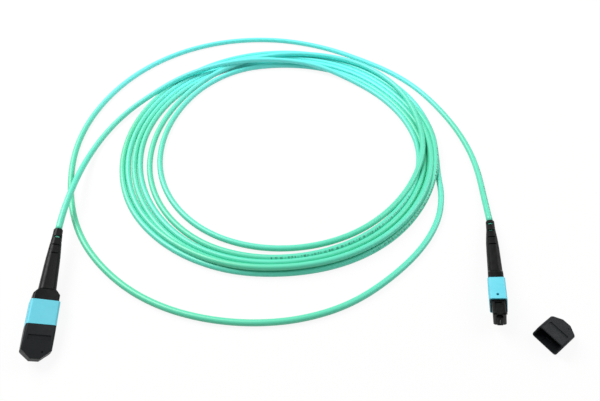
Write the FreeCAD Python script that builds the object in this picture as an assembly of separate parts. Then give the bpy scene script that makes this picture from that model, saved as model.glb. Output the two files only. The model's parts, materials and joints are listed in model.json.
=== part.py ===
import FreeCAD, Part
import math
import os

# An MPO fibre patch lead: two push-pull multi-fibre connectors on one 3.2 mm cable that lies
# loosely coiled on a table. The left connector wears its dust cap, the right one's cap lies
# beside it. Units are millimetres. Z = 0 is the table, and the frame's origin is the middle
# of the box around the two connectors and the loose cap, on the table.

V = FreeCAD.Vector

# Connector, in its own frame: +X is the mating direction, Y the width, Z the thickness, and
# x = 0 is the rear edge of the coupling sleeve.
SLEEVE_W = 12.4
SLEEVE_T = 7.7
SLEEVE_L = 11.6
SLEEVE_TRAVEL = 2.2
LONG_EDGE = 1.1
WINDOW_START = 3.2
WINDOW_END = 8.4
WINDOW_W = 5.6
HOUSING_W = 9.6
HOUSING_T = 5.6
HOUSING_L = 18.8
HOUSING_EDGE = 0.5
NOSE_BEVEL = 0.5
COLLAR_W = 10.6
COLLAR_T = 6.7
COLLAR_START = 9.9
CHAMBER_W = 7.3
CHAMBER_T = 3.4
PLUG_L = 4.4
FLANGE_W = 11.2
FLANGE_T = 6.8
FLANGE_L = 5.7
FLANGE_EDGE = 1.0
BEVEL_W = 1.75
BEVEL_L = 2.3
NECK_R = 2.0
NECK_BORE_R = 1.2
NECK_L = 4.8
FERRULE_W = 6.4
FERRULE_T = 2.5
FERRULE_L = 8.0
FERRULE_OUT = 1.0
FERRULE_FLANGE_W = 7.1
FERRULE_FLANGE_T = 3.1
FERRULE_FLANGE_L = 2.0
FERRULE_POCKET_W = 3.6
FERRULE_POCKET_T = 1.4
FERRULE_POCKET_L = 1.2
PIN_HOLE_R = 0.35
PIN_PITCH = 4.6
KEEPER_W = 7.0
KEEPER_T = 3.0
KEEPER_L = 1.8
RUBBER_L = 2.4
RIBBON_W = 3.1
RIBBON_T = 0.35
SIDE_SPRING_R = 0.6
SIDE_GROOVE_START = 1.6
SIDE_GROOVE_END = 9.6
SIDE_GROOVE_W = 1.7
SIDE_GROOVE_DEPTH = 0.85
TAB_START = 8.3
KEY_W = 3.0
KEY_T = 0.6
KEY_START = 12.2
KEY_END = 15.3
POCKET_START = 12.4
POCKET_END = 15.2
POCKET_W = 3.0
POCKET_DEPTH = 0.85
CHANNEL_W = 2.4
CHANNEL_DEPTH = 0.35
CABLE_R = 1.6
BOOT_L = 33.5
BOOT_TIP_SIZE = 4.2
BOOT_ROOT_W = 7.6
BOOT_ROOT_T = 6.7
# The boot's swelling between tip and root: distance from the tip, width, thickness.
BOOT_SWELL = [(5.5, 4.7, 4.4), (11.5, 5.6, 5.4), (17.5, 6.4, 6.0)]
SLOT_L = 0.9
SLOT_PITCH = 4.8
SIDE_SLOT_START = 2.1
SIDE_SLOT_COUNT = 4
FACE_SLOT_START = 4.5
FACE_SLOT_COUNT = 3
CAP_L = 14.6
CAP_STRAIGHT = 4.4
CAP_NOSE_T = 4.0
CAP_NOSE_W = 4.0
CAP_NOSE_L = 3.8
CAP_STEP = 0.43
CAP_TOE_EDGE = 0.8
MARK_R = 0.4

# Fits and gaps.
SLIDE_GAP = 0.06
PLUG_GAP = 0.05
FERRULE_GAP = 0.1
RUBBER_GAP = 0.05
CAP_GAP = 0.05
CABLE_GAP = 0.05
STOP_GAP = 0.05

# Where each fitting lies: x and y of its own origin, and yaw, pitch and roll in degrees.
# Each one is then lowered until it touches the table.
LEFT_PLACE = (-116.1, -11.1, -83.3, 4.0, -32.4)
RIGHT_PLACE = (93.4, -1.5, -100.5, -4.3, -72.0)
CAP_TAPER = math.degrees(math.atan((SLEEVE_T - CAP_NOSE_T) / 2 / (CAP_L - CAP_STRAIGHT)))
LOOSE_CAP_PLACE = (109.9, -28.1, 36.3, CAP_TAPER, 0.0)

# The coil: two circles that aren't concentric bound its strands, so the strands fan out at
# the left and bunch at the right.
COIL_INNER = (-5.4, 97.8, 76.1)
COIL_OUTER = (-10.8, 97.8, 93.0)
COIL_TOP = 6.6
COIL_SPARE = 1.6

# The cable's route where it isn't coiled: table positions and centre heights. The first list
# starts behind the left boot and ends in the coil, the second starts in the coil.
LEAD_LEFT = [
    (-121.5, 36.6, 10.1),
    (-122.3, 53.6, 8.9),
    (-123.2, 68.7, 6.1),
    (-123.1, 85.0, 3.0),
    (-120.0, 101.8, 1.7),
    (-113.4, 118.1, 1.7),
    (-103.2, 133.3, 2.6),
    (-91.2, 145.3, 4.1),
]
LEAD_RIGHT = [
    (80.4, 85.0, CABLE_R),
    (79.8, 70.6, CABLE_R),
    (76.8, 56.0, CABLE_R),
    (70.5, 39.1, CABLE_R),
    (60.2, 21.2, CABLE_R),
    (44.9, 4.3, CABLE_R),
    (24.8, -9.3, CABLE_R),
    (3.1, -16.6, CABLE_R),
    (-18.7, -18.9, CABLE_R),
    (-40.4, -17.2, CABLE_R),
    (-61.6, -11.7, CABLE_R),
    (-81.2, -2.0, CABLE_R),
    (-98.6, 11.9, CABLE_R),
    (-112.2, 27.7, CABLE_R),
    (-122.0, 45.6, CABLE_R),
    (-129.0, 66.3, CABLE_R),
    (-133.3, 89.1, CABLE_R),
    (-132.8, 113.0, CABLE_R),
    (-127.0, 136.4, CABLE_R),
    (-116.3, 158.5, CABLE_R),
    (-101.3, 177.0, CABLE_R),
    (-82.8, 191.3, CABLE_R),
    (-61.6, 200.9, CABLE_R),
    (-39.3, 205.4, CABLE_R),
    (-16.5, 205.3, CABLE_R),
    (4.2, 200.9, CABLE_R),
    (23.7, 192.1, CABLE_R),
    (42.4, 180.6, CABLE_R),
    (60.0, 166.9, CABLE_R),
    (75.3, 150.5, CABLE_R),
    (87.1, 131.7, CABLE_R),
    (95.8, 110.9, CABLE_R),
    (101.1, 91.3, CABLE_R),
    (102.9, 73.6, 1.7),
    (101.9, 53.9, 2.4),
]


def section(x, width, thick, edge):
    """A rectangle with chamfered corners, across X, as a closed wire."""
    w = width / 2
    t = thick / 2
    ring = [(w, t - edge), (w - edge, t), (edge - w, t), (-w, t - edge)]
    ring += [(-y, -z) for y, z in ring]
    points = [V(x, y, z) for y, z in ring]
    return Part.makePolygon(points + points[:1])


def block(x0, x1, width, thick, edge=0.0):
    """A prism along X, centred on the axis, with chamfered long edges."""
    if edge == 0.0:
        return Part.makeBox(x1 - x0, width, thick, V(x0, -width / 2, -thick / 2))
    return Part.Face(section(x0, width, thick, edge)).extrude(V(x1 - x0, 0, 0))


def cuboid(low, high):
    return Part.makeBox(high[0] - low[0], high[1] - low[1], high[2] - low[2], V(*low))


def rod(x0, x1, radius):
    return Part.makeCylinder(radius, x1 - x0, V(x0, 0, 0), V(1, 0, 0))


def joined(pieces):
    return pieces[0].multiFuse(pieces[1:]).removeSplitter()


def on_both_sides(make):
    """The shapes made for the -1 and the +1 side."""
    return [make(side) for side in (-1, 1)]


def side_box(side, x0, x1, y0, y1, width):
    """A box on the side face at +Y or -Y, between the heights y0 and y1 above the axis."""
    low = min(side * y0, side * y1)
    high = max(side * y0, side * y1)
    return cuboid((x0, low, -width / 2), (x1, high, width / 2))


def coupling_sleeve():
    """The outer grip: it slides back over the flange, and a tab in each side groove carries
    its spring."""
    inner_w = HOUSING_W + 2 * SLIDE_GAP
    inner_t = HOUSING_T + 2 * SLIDE_GAP
    shape = block(0, SLEEVE_L, SLEEVE_W, SLEEVE_T, LONG_EDGE)
    shape = shape.cut(block(-1, SLEEVE_L + 1, inner_w, inner_t, HOUSING_EDGE))
    rear_w = FLANGE_W + 2 * SLIDE_GAP
    rear_t = FLANGE_T + 2 * SLIDE_GAP
    shape = shape.cut(block(-1, SLEEVE_TRAVEL + 0.4, rear_w, rear_t, FLANGE_EDGE))
    front_w = COLLAR_W + 2 * SLIDE_GAP
    front_t = COLLAR_T + 2 * SLIDE_GAP
    shape = shape.cut(block(COLLAR_START - STOP_GAP, SLEEVE_L + 1, front_w, front_t, HOUSING_EDGE))
    groove_top = inner_w / 2 + 0.5
    shape = shape.cut(joined(on_both_sides(
        lambda s: side_box(s, SLEEVE_TRAVEL, TAB_START, inner_w / 2 - 0.1, groove_top, SIDE_GROOVE_W))))
    tab_foot = HOUSING_W / 2 - SIDE_GROOVE_DEPTH + 0.1
    tabs = on_both_sides(
        lambda s: side_box(s, TAB_START, SIDE_GROOVE_END - STOP_GAP, tab_foot, inner_w / 2 + 0.1,
                           SIDE_GROOVE_W - 2 * SLIDE_GAP))
    shape = shape.multiFuse(tabs)
    window = cuboid((WINDOW_START, -WINDOW_W / 2, -SLEEVE_T), (WINDOW_END, WINDOW_W / 2, 0))
    marks = on_both_sides(
        lambda s: Part.makeCylinder(MARK_R, 0.7, V(SLEEVE_L - 2.2, s * SLEEVE_W / 2, 0), V(0, -s, 0)))
    return shape.cut(window).cut(marks[0]).cut(marks[1])


def housing():
    """The inner housing: chambers for the ferrule and spring, side grooves, the collar that
    stops the sleeve, latch pockets that an adapter's hooks catch, and the key."""
    bevel_start = HOUSING_L - NOSE_BEVEL
    shape = block(0, bevel_start, HOUSING_W, HOUSING_T, HOUSING_EDGE)
    nose_wires = [
        section(bevel_start, HOUSING_W, HOUSING_T, HOUSING_EDGE),
        section(HOUSING_L, HOUSING_W - 2 * NOSE_BEVEL, HOUSING_T - 2 * NOSE_BEVEL, HOUSING_EDGE),
    ]
    collar = block(COLLAR_START, SLEEVE_L, COLLAR_W, COLLAR_T, HOUSING_EDGE)
    shape = joined([shape, Part.makeLoft(nose_wires, True, True), collar])
    shoulder = HOUSING_L + FERRULE_OUT - FERRULE_L + FERRULE_FLANGE_L + STOP_GAP
    shape = shape.cut(block(-1, shoulder, CHAMBER_W, CHAMBER_T))
    opening_w = FERRULE_W + 2 * FERRULE_GAP
    opening_t = FERRULE_T + 2 * FERRULE_GAP
    shape = shape.cut(block(shoulder - 1, HOUSING_L + 1, opening_w, opening_t))
    shape = shape.cut(block(-1, PLUG_L + 0.1, CHAMBER_W, CHAMBER_T + 0.8))
    side = HOUSING_W / 2
    cutters = []
    for s in (-1, 1):
        floor = side - SIDE_GROOVE_DEPTH
        cutters.append(side_box(s, SIDE_GROOVE_START, SIDE_GROOVE_END, floor, side + 1, SIDE_GROOVE_W))
        cutters.append(side_box(s, POCKET_START, POCKET_END, side - POCKET_DEPTH, side + 1, POCKET_W))
        channel_floor = side - CHANNEL_DEPTH
        cutters.append(side_box(s, POCKET_END - 0.1, HOUSING_L + 1, channel_floor, side + 1, CHANNEL_W))
        cutters.append(cuboid((1.9, -1.3, min(0, s * HOUSING_T)), (3.5, 1.3, max(0, s * HOUSING_T))))
    for cutter in cutters:
        shape = shape.cut(cutter)
    half_t = HOUSING_T / 2
    key = cuboid((KEY_START, -KEY_W / 2, half_t - 0.2), (KEY_END, KEY_W / 2, half_t + KEY_T))
    return shape.fuse(key).removeSplitter()


def rear_body():
    """The spring push: a bevelled flange, the plug section that snaps into the housing, and
    the neck that the crimp ring closes on."""
    flange = block(-FLANGE_L, 0, FLANGE_W, FLANGE_T, FLANGE_EDGE)
    for s in (-1, 1):
        half = s * FLANGE_W / 2
        corner = [
            V(-FLANGE_L, half - s * BEVEL_W, -FLANGE_T),
            V(-FLANGE_L, half, -FLANGE_T),
            V(BEVEL_L - FLANGE_L, half, -FLANGE_T),
        ]
        wedge = Part.Face(Part.makePolygon(corner + corner[:1])).extrude(V(0, 0, 2 * FLANGE_T))
        flange = flange.cut(wedge)
    plug_t = CHAMBER_T + 0.8 - 2 * PLUG_GAP
    plug = block(-0.5, PLUG_L, CHAMBER_W - 2 * PLUG_GAP, plug_t)
    catches = cuboid((2.1, -1.1, -plug_t / 2 - 0.4), (3.3, 1.1, plug_t / 2 + 0.4))
    neck = rod(-FLANGE_L - NECK_L, -FLANGE_L + 0.5, NECK_R)
    shape = joined([flange, plug, catches, neck])
    shape = shape.cut(rod(-FLANGE_L - NECK_L - 1, 0, NECK_BORE_R))
    return shape.cut(block(-FLANGE_L / 2, PLUG_L + 1, 4.0, 2.0))


def crimp_ring():
    """A stepped metal sleeve: wide over the neck, narrow on the cable."""
    neck_end = -FLANGE_L - NECK_L
    step = neck_end - 0.1
    wide = rod(step - 0.5, -FLANGE_L - 0.3, NECK_R + 0.65)
    narrow = rod(neck_end - 3.8, neck_end, CABLE_R + 0.5)
    shape = joined([wide, narrow])
    shape = shape.cut(rod(step, 0, NECK_R + CABLE_GAP))
    return shape.cut(rod(neck_end - 5, neck_end, CABLE_R + CABLE_GAP))


def boot():
    """The strain relief: it swells from the tip to the flange, and staggered slots let its
    outer half bend."""
    tip = -FLANGE_L - BOOT_L
    profile = [(0, BOOT_TIP_SIZE, BOOT_TIP_SIZE)] + BOOT_SWELL + [(BOOT_L, BOOT_ROOT_W, BOOT_ROOT_T)]
    wires = [section(tip + d, w, t, 0.28 * t if d == 0 else 0.24 * t) for d, w, t in profile]
    shape = Part.makeLoft(wires, True, True)
    shape = shape.cut(rod(tip - 1, -FLANGE_L + 1, CABLE_R + CABLE_GAP))
    cavity = rod(-FLANGE_L - NECK_L - 4.4, -FLANGE_L + 1, NECK_R + 0.75)
    shape = shape.cut(cavity)
    half = CABLE_R + 0.25
    cutters = []
    for s in (-1, 1):
        for k in range(SIDE_SLOT_COUNT):
            x = tip + SIDE_SLOT_START + k * SLOT_PITCH
            cutters.append(side_box(s, x, x + SLOT_L, 0.9, 5, 2 * half))
        for k in range(FACE_SLOT_COUNT):
            x = tip + FACE_SLOT_START + k * SLOT_PITCH
            z = sorted((s * 0.9, s * 5.0))
            cutters.append(cuboid((x, -half, z[0]), (x + SLOT_L, half, z[1])))
    for cutter in cutters:
        shape = shape.cut(cutter)
    return shape


def ferrule():
    """The MT ferrule: two guide-pin holes, an adhesive window and a pocket for its rubber
    boot."""
    tip = HOUSING_L + FERRULE_OUT
    rear = tip - FERRULE_L
    flange = block(rear, rear + FERRULE_FLANGE_L, FERRULE_FLANGE_W, FERRULE_FLANGE_T)
    shape = joined([block(rear, tip, FERRULE_W, FERRULE_T), flange])
    for s in (-1, 1):
        hole = Part.makeCylinder(PIN_HOLE_R, FERRULE_L + 2, V(rear - 1, s * PIN_PITCH / 2, 0), V(1, 0, 0))
        shape = shape.cut(hole)
    shape = shape.cut(block(rear - 1, rear + FERRULE_POCKET_L, FERRULE_POCKET_W, FERRULE_POCKET_T))
    return shape.cut(cuboid((rear + 3.0, -1.5, 0), (rear + 5.0, 1.5, FERRULE_T)))


def ferrule_parts():
    """The ferrule and what moves with it."""
    rear = HOUSING_L + FERRULE_OUT - FERRULE_L
    keeper_rear = rear - KEEPER_L
    keeper = block(keeper_rear, rear, KEEPER_W, KEEPER_T)
    keeper = keeper.cut(block(0, rear + 1, FERRULE_POCKET_W, FERRULE_POCKET_T))
    ribbon = block(-FLANGE_L - NECK_L + 1.6, rear + 1.0, RIBBON_W, RIBBON_T)
    neck_slice = rod(-FLANGE_L - NECK_L, -FLANGE_L / 2 + 0.3, NECK_BORE_R - 0.1)
    bundle = ribbon.common(neck_slice)
    ribbon = block(-FLANGE_L / 2 + 0.2, rear + 1.0, RIBBON_W, RIBBON_T).fuse(bundle).removeSplitter()
    rubber_w = FERRULE_POCKET_W - 2 * RUBBER_GAP
    rubber_t = FERRULE_POCKET_T - 2 * RUBBER_GAP
    seat = rear + FERRULE_POCKET_L - RUBBER_GAP
    rubber = block(rear - RUBBER_L, seat, rubber_w, rubber_t).cut(block(0, seat + 1, RIBBON_W, RIBBON_T))
    return {"mt_ferrule": ferrule(), "pin_keeper": keeper, "ferrule_boot": rubber, "fibre_ribbon": ribbon}


def main_spring():
    """The oval coil between the rear body and the pin keeper, as a closed oval tube."""
    front = HOUSING_L + FERRULE_OUT - FERRULE_L - KEEPER_L - STOP_GAP
    outer = block(PLUG_L + STOP_GAP, front, CHAMBER_W - 0.3, CHAMBER_T - 0.3, 1.0)
    return outer.cut(block(PLUG_L - 1, front + 1, CHAMBER_W - 1.6, CHAMBER_T - 1.4, 0.6))


def side_spring(side):
    """A coupling spring in its groove, as a closed tube."""
    y = side * (HOUSING_W / 2 - SIDE_GROOVE_DEPTH + SIDE_SPRING_R + 0.1)
    start = V(SIDE_GROOVE_START + STOP_GAP, y, 0)
    length = TAB_START - SIDE_GROOVE_START - 2 * STOP_GAP
    outer = Part.makeCylinder(SIDE_SPRING_R, length, start, V(1, 0, 0))
    return outer.cut(Part.makeCylinder(SIDE_SPRING_R - 0.2, length, start, V(1, 0, 0)))


def cable_end():
    """The cable inside the boot, from the crimp ring to the boot's tip."""
    return rod(-FLANGE_L - BOOT_L, -FLANGE_L - NECK_L - 0.15, CABLE_R)


def dust_cap():
    """The dust cap, in its own frame: x = 0 is its mouth. Past a step the wide faces slope to
    a thinner nose with cut-off corners."""
    straight = block(0, CAP_STRAIGHT, SLEEVE_W, SLEEVE_T, LONG_EDGE)
    wires = [
        section(CAP_STRAIGHT, SLEEVE_W, SLEEVE_T, LONG_EDGE),
        section(CAP_L, SLEEVE_W, CAP_NOSE_T, CAP_TOE_EDGE),
    ]
    shape = joined([straight, Part.makeLoft(wires, True, True)])
    for s in (-1, 1):
        w = s * SLEEVE_W / 2
        nose = s * CAP_NOSE_W / 2
        corner = [
            V(CAP_L - CAP_NOSE_L, w, -SLEEVE_T),
            V(CAP_L, w, -SLEEVE_T),
            V(CAP_L, nose, -SLEEVE_T),
        ]
        shape = shape.cut(Part.Face(Part.makePolygon(corner + corner[:1])).extrude(V(0, 0, 2 * SLEEVE_T)))
        step = sorted((s * (SLEEVE_T / 2 - CAP_STEP), s * SLEEVE_T))
        shape = shape.cut(cuboid((CAP_STRAIGHT, -4.6, step[0]), (CAP_STRAIGHT + 3, 4.6, step[1])))
    depth = HOUSING_L - SLEEVE_L + 0.15
    inner_w = HOUSING_W + 2 * CAP_GAP
    inner_t = HOUSING_T + 2 * CAP_GAP
    shape = shape.cut(block(-1, depth, inner_w, inner_t, HOUSING_EDGE - CAP_GAP))
    shape = shape.cut(block(depth - 1, depth + FERRULE_OUT + 0.7, FERRULE_W + 0.5, FERRULE_T + 0.6))
    key_room = KEY_END - SLEEVE_L + 0.3
    key_half = KEY_W / 2 + 0.15
    shape = shape.cut(cuboid((-1, -key_half, 0), (key_room, key_half, HOUSING_T / 2 + KEY_T + 0.1)))
    dimple = Part.makeCylinder(MARK_R, 2.0, V(CAP_L - 3.5, 2.3, SLEEVE_T / 2), V(0, 0, -1))
    return shape.cut(dimple)


def connector():
    """Every piece of one connector without its cap, in the connector's own frame."""
    pieces = {
        "coupling_sleeve": coupling_sleeve(),
        "coupling_spring_a": side_spring(-1),
        "coupling_spring_b": side_spring(1),
        "housing": housing(),
        "main_spring": main_spring(),
        "rear_body": rear_body(),
        "crimp_ring": crimp_ring(),
        "boot": boot(),
        "cable_end": cable_end(),
    }
    pieces.update(ferrule_parts())
    return pieces


def laid_down(pieces, place):
    """The pieces turned and moved to their place, and lowered until they touch the table."""
    x, y, yaw, pitch, roll = place
    turn = FreeCAD.Rotation(yaw, pitch, roll)
    turned = Part.makeCompound([piece.copy() for piece in pieces.values()])
    turned.Placement = FreeCAD.Placement(V(x, y, 0), turn)
    lift = -turned.optimalBoundingBox().ZMin
    placement = FreeCAD.Placement(V(x, y, lift), turn)
    placed = {}
    for name, piece in pieces.items():
        placed[name] = piece.copy()
        placed[name].Placement = placement.multiply(piece.Placement)
    return placed, placement


def cord_tube(points, radius):
    """A round tube along straight runs that tangent arcs join."""
    points = [V(*p) for p in points]
    runs = [b.sub(a).Length for a, b in zip(points, points[1:])]
    edges = []
    here = points[0]
    radii = []
    for k in range(1, len(points) - 1):
        back = points[k - 1].sub(points[k]).normalize()
        ahead = points[k + 1].sub(points[k]).normalize()
        half_turn = (math.pi - back.getAngle(ahead)) / 2
        reach = 0.45 * min(runs[k - 1], runs[k])
        arc_radius = reach / math.tan(half_turn)
        radii.append(arc_radius)
        start = points[k].add(back.multiply(reach))
        end = points[k].add(ahead.multiply(reach))
        inward = start.add(end).multiply(0.5).sub(points[k])
        to_centre = math.hypot(arc_radius, reach)
        middle = points[k].add(inward.normalize().multiply(to_centre - arc_radius))
        edges.append(Part.LineSegment(here, start).toShape())
        edges.append(Part.Arc(start, middle, end).toShape())
        here = end
    edges.append(Part.LineSegment(here, points[-1]).toShape())
    path = Part.Wire(edges)
    ring = Part.Wire([Part.makeCircle(radius, points[0], points[1].sub(points[0]))])
    tube = path.makePipeShell([ring], True, False)
    expected = math.pi * radius ** 2 * path.Length
    print("tube length %.1f, volume %.4f of section times length" % (path.Length, tube.Volume / expected))
    print("smallest arc radius %.1f" % min(radii))
    return tube


def coil():
    """The closed outer shape of the coiled turns."""
    outer_r = COIL_OUTER[2] + COIL_SPARE
    inner_r = COIL_INNER[2] - COIL_SPARE
    outer = Part.makeCylinder(outer_r, COIL_TOP, V(COIL_OUTER[0], COIL_OUTER[1], 0))
    return outer.cut(Part.makeCylinder(inner_r, COIL_TOP, V(COIL_INNER[0], COIL_INNER[1], 0)))


def all_nodes():
    nodes = {}
    boot_tip = V(-FLANGE_L - BOOT_L, 0, 0)
    cap = dust_cap()
    fitted_cap = cap.copy()
    fitted_cap.translate(V(SLEEVE_L + CAP_GAP, 0, 0))
    left_pieces = connector()
    left_pieces["dust_cap"] = fitted_cap
    left, left_place = laid_down(left_pieces, LEFT_PLACE)
    right, right_place = laid_down(connector(), RIGHT_PLACE)
    loose, _ = laid_down({"dust_cap": cap}, LOOSE_CAP_PLACE)
    right.update(loose)
    for name, piece in left.items():
        nodes["left_" + name] = piece
    for name, piece in right.items():
        nodes["right_" + name] = piece
    left_tip = left_place.multVec(boot_tip)
    right_tip = right_place.multVec(boot_tip)
    nodes["cord_lead_left"] = cord_tube([tuple(left_tip)] + LEAD_LEFT, CABLE_R)
    nodes["cord_coil"] = coil()
    nodes["cord_lead_right"] = cord_tube(LEAD_RIGHT + [tuple(right_tip)], CABLE_R)
    for name, place in (("left", left_place), ("right", right_place)):
        front = place.multVec(V(HOUSING_L + FERRULE_OUT, 0, 0))
        forward = place.Rotation.multVec(V(1, 0, 0))
        width = place.Rotation.multVec(V(0, 1, 0))
        print(name, "boot tip", place.multVec(boot_tip), "ferrule face", front)
        print(name, "mating direction", forward, "width", width)
    return nodes


def main():
    os.makedirs("parts", exist_ok=True)
    nodes = all_nodes()
    fittings = Part.makeCompound([s for n, s in nodes.items() if not n.startswith("cord")])
    box = fittings.optimalBoundingBox()
    print("fittings centre %.2f %.2f, lowest %.3f" % (box.Center.x, box.Center.y, box.ZMin))
    for name, shape in nodes.items():
        solids = len(shape.Solids)
        if not shape.isValid() or solids != 1:
            raise ValueError("%s has %d solids, valid %s" % (name, solids, shape.isValid()))
        shape.Solids[0].exportStep("parts/%s.step" % name)
    print(len(nodes), "nodes written")


main()
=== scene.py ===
# %% [markdown]
# # A fibre patch lead with two push-pull connectors
# This lesson dresses a CAD model of a network cable. The cable carries twelve glass fibres
# and ends in a flat multi-fibre connector on each side. One connector wears its dust cap and
# the other lies open beside its own cap. The CAD gives every piece its size, its place and
# its motion, and Blender gives it rounded edges, real coils and the finish of its material.

import json
import math

import bmesh
import bpy
from mathutils import Matrix, Vector

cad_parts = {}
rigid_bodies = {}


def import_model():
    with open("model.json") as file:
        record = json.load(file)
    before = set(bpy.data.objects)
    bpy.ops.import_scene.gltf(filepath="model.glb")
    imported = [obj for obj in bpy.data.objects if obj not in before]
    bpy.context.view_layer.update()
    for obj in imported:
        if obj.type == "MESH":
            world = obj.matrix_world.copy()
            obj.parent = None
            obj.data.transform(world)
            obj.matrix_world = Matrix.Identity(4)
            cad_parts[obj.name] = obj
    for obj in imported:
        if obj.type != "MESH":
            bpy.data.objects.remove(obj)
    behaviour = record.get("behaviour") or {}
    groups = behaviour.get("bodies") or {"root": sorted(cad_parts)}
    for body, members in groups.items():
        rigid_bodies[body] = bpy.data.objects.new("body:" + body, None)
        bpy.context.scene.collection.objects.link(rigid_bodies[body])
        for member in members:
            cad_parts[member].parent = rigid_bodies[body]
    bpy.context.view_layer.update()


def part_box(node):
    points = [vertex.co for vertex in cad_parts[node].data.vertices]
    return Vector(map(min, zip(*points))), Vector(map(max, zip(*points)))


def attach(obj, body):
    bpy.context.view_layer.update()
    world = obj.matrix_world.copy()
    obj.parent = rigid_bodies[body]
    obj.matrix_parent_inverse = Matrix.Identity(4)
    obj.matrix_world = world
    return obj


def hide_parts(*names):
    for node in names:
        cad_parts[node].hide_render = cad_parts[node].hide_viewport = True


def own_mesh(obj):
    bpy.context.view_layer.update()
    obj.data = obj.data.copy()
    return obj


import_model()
MM = 0.001

# %% [markdown]
# ## Where each connector lies
# A connector is easiest to build along its own axes: X towards the mating end, Y across its
# width and Z through its thickness. Three of its CAD solids have a middle that is a known
# point of that frame: the cable end on the axis and the two small springs at its sides. Two
# directions and one point are all that a matrix needs, so nothing has to be typed in twice.

# %% Read both connectors' frames from their solids
# Along X, in millimetres: the middle of the two small springs, and the tip of the boot.
SPRING_MIDDLE = 4.95
BOOT_TIP = -39.2


def middle(node):
    low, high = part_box(node)
    return (low + high) / 2


def connector_frame(side):
    """The matrix that takes the connector's own millimetres to the row frame's metres."""
    spring_a = middle(side + "_coupling_spring_a")
    spring_b = middle(side + "_coupling_spring_b")
    between = (spring_a + spring_b) / 2
    forward = (between - middle(side + "_cable_end")).normalized()
    width = (spring_b - spring_a).normalized()
    width = (width - forward * width.dot(forward)).normalized()
    thick = forward.cross(width)
    origin = between - forward * SPRING_MIDDLE * MM
    turn = Matrix((forward, width, thick)).transposed().to_4x4()
    return Matrix.Translation(origin) @ turn @ Matrix.Scale(MM, 4)


frames = {side: connector_frame(side) for side in ("left", "right")}
boot_tips = {side: m @ Vector((BOOT_TIP, 0, 0)) for side, m in frames.items()}
for side, tip in boot_tips.items():
    print(side, "boot tip at", [round(c * 1000, 1) for c in tip], "mm")

# %% [markdown]
# ## The camera
# The view is that of someone standing over a table: the camera hangs 212 mm above it and
# looks down at 51.5 degrees through a slightly wide lens, which makes near things larger.

# %% Set the camera
CAMERA_AT = (0.9, -114.2, 212.0)
LOOK_DOWN = 51.5
camera = bpy.data.objects.new("camera", bpy.data.cameras.new("camera"))
bpy.context.scene.collection.objects.link(camera)
camera.data.sensor_width = 36.0
camera.data.lens = 29.4
camera.data.clip_start = 0.01
camera.location = Vector(CAMERA_AT) * MM
camera.rotation_euler = (math.radians(90 - LOOK_DOWN), 0, 0)
bpy.context.scene.camera = camera
print("lens", round(camera.data.lens, 1), "mm")

# %% [markdown]
# ## The cable's route
# A cable that lies free has no corners, so its centreline is one quadratic NURBS curve from
# boot tip to boot tip. The two leads are short lists of control points, the same as in the
# CAD source but for small moves. The coil between them is worked out. Its outer edge isn't
# quite round, and each turn keeps to a lane, one cable's width from the next. A short list
# says when a turn changes its lane and when it climbs on another, because loose turns cross
# here and there.

# %% Define the two leads
CABLE_R = 1.6
LEAD_LEFT = [
    (-121.5, 36.6, 10.1),
    (-122.3, 53.6, 8.9),
    (-123.2, 68.7, 6.1),
    (-123.1, 85.0, 3.0),
    (-120.0, 101.8, 1.8),
    (-113.4, 118.1, 2.0),
    (-103.2, 133.3, 2.9),
]
# The right lead goes once round the coil, past its front, its left side and its back. It
# lies flat on the table.
LEAD_RIGHT_FLAT = [
    (81.5, 86.0),
    (79.9, 72.0),
    (79.4, 56.5),
    (74.6, 39.3),
    (62.8, 21.2),
    (44.9, 4.3),
    (24.8, -9.3),
    (3.1, -16.6),
    (-18.7, -18.9),
    (-40.4, -17.2),
    (-61.6, -11.7),
    (-81.2, -2.0),
    (-98.6, 11.9),
    (-112.2, 27.7),
    (-122.0, 45.6),
    (-129.0, 66.3),
    (-133.3, 89.1),
    (-132.8, 113.0),
    (-127.0, 136.4),
    (-116.3, 158.5),
    (-101.3, 177.0),
    (-82.8, 191.3),
    (-61.6, 200.9),
    (-39.3, 205.4),
    (-16.5, 205.3),
    (4.2, 200.9),
    (24.2, 193.0),
    (43.2, 181.6),
    (61.9, 168.4),
    (77.6, 151.9),
    (89.0, 132.3),
    (97.6, 111.2),
    (102.2, 91.5),
]
LEAD_RIGHT = [(x, y, CABLE_R) for x, y in LEAD_RIGHT_FLAT]
LEAD_RIGHT += [(103.3, 73.6, 1.7), (101.9, 53.9, 2.4)]
print("leads:", len(LEAD_LEFT), "and", len(LEAD_RIGHT), "points")

# %% Say which lane each turn of the coil keeps to
FIRST_TURN = -0.12
LAST_TURN = 6.24
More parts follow.
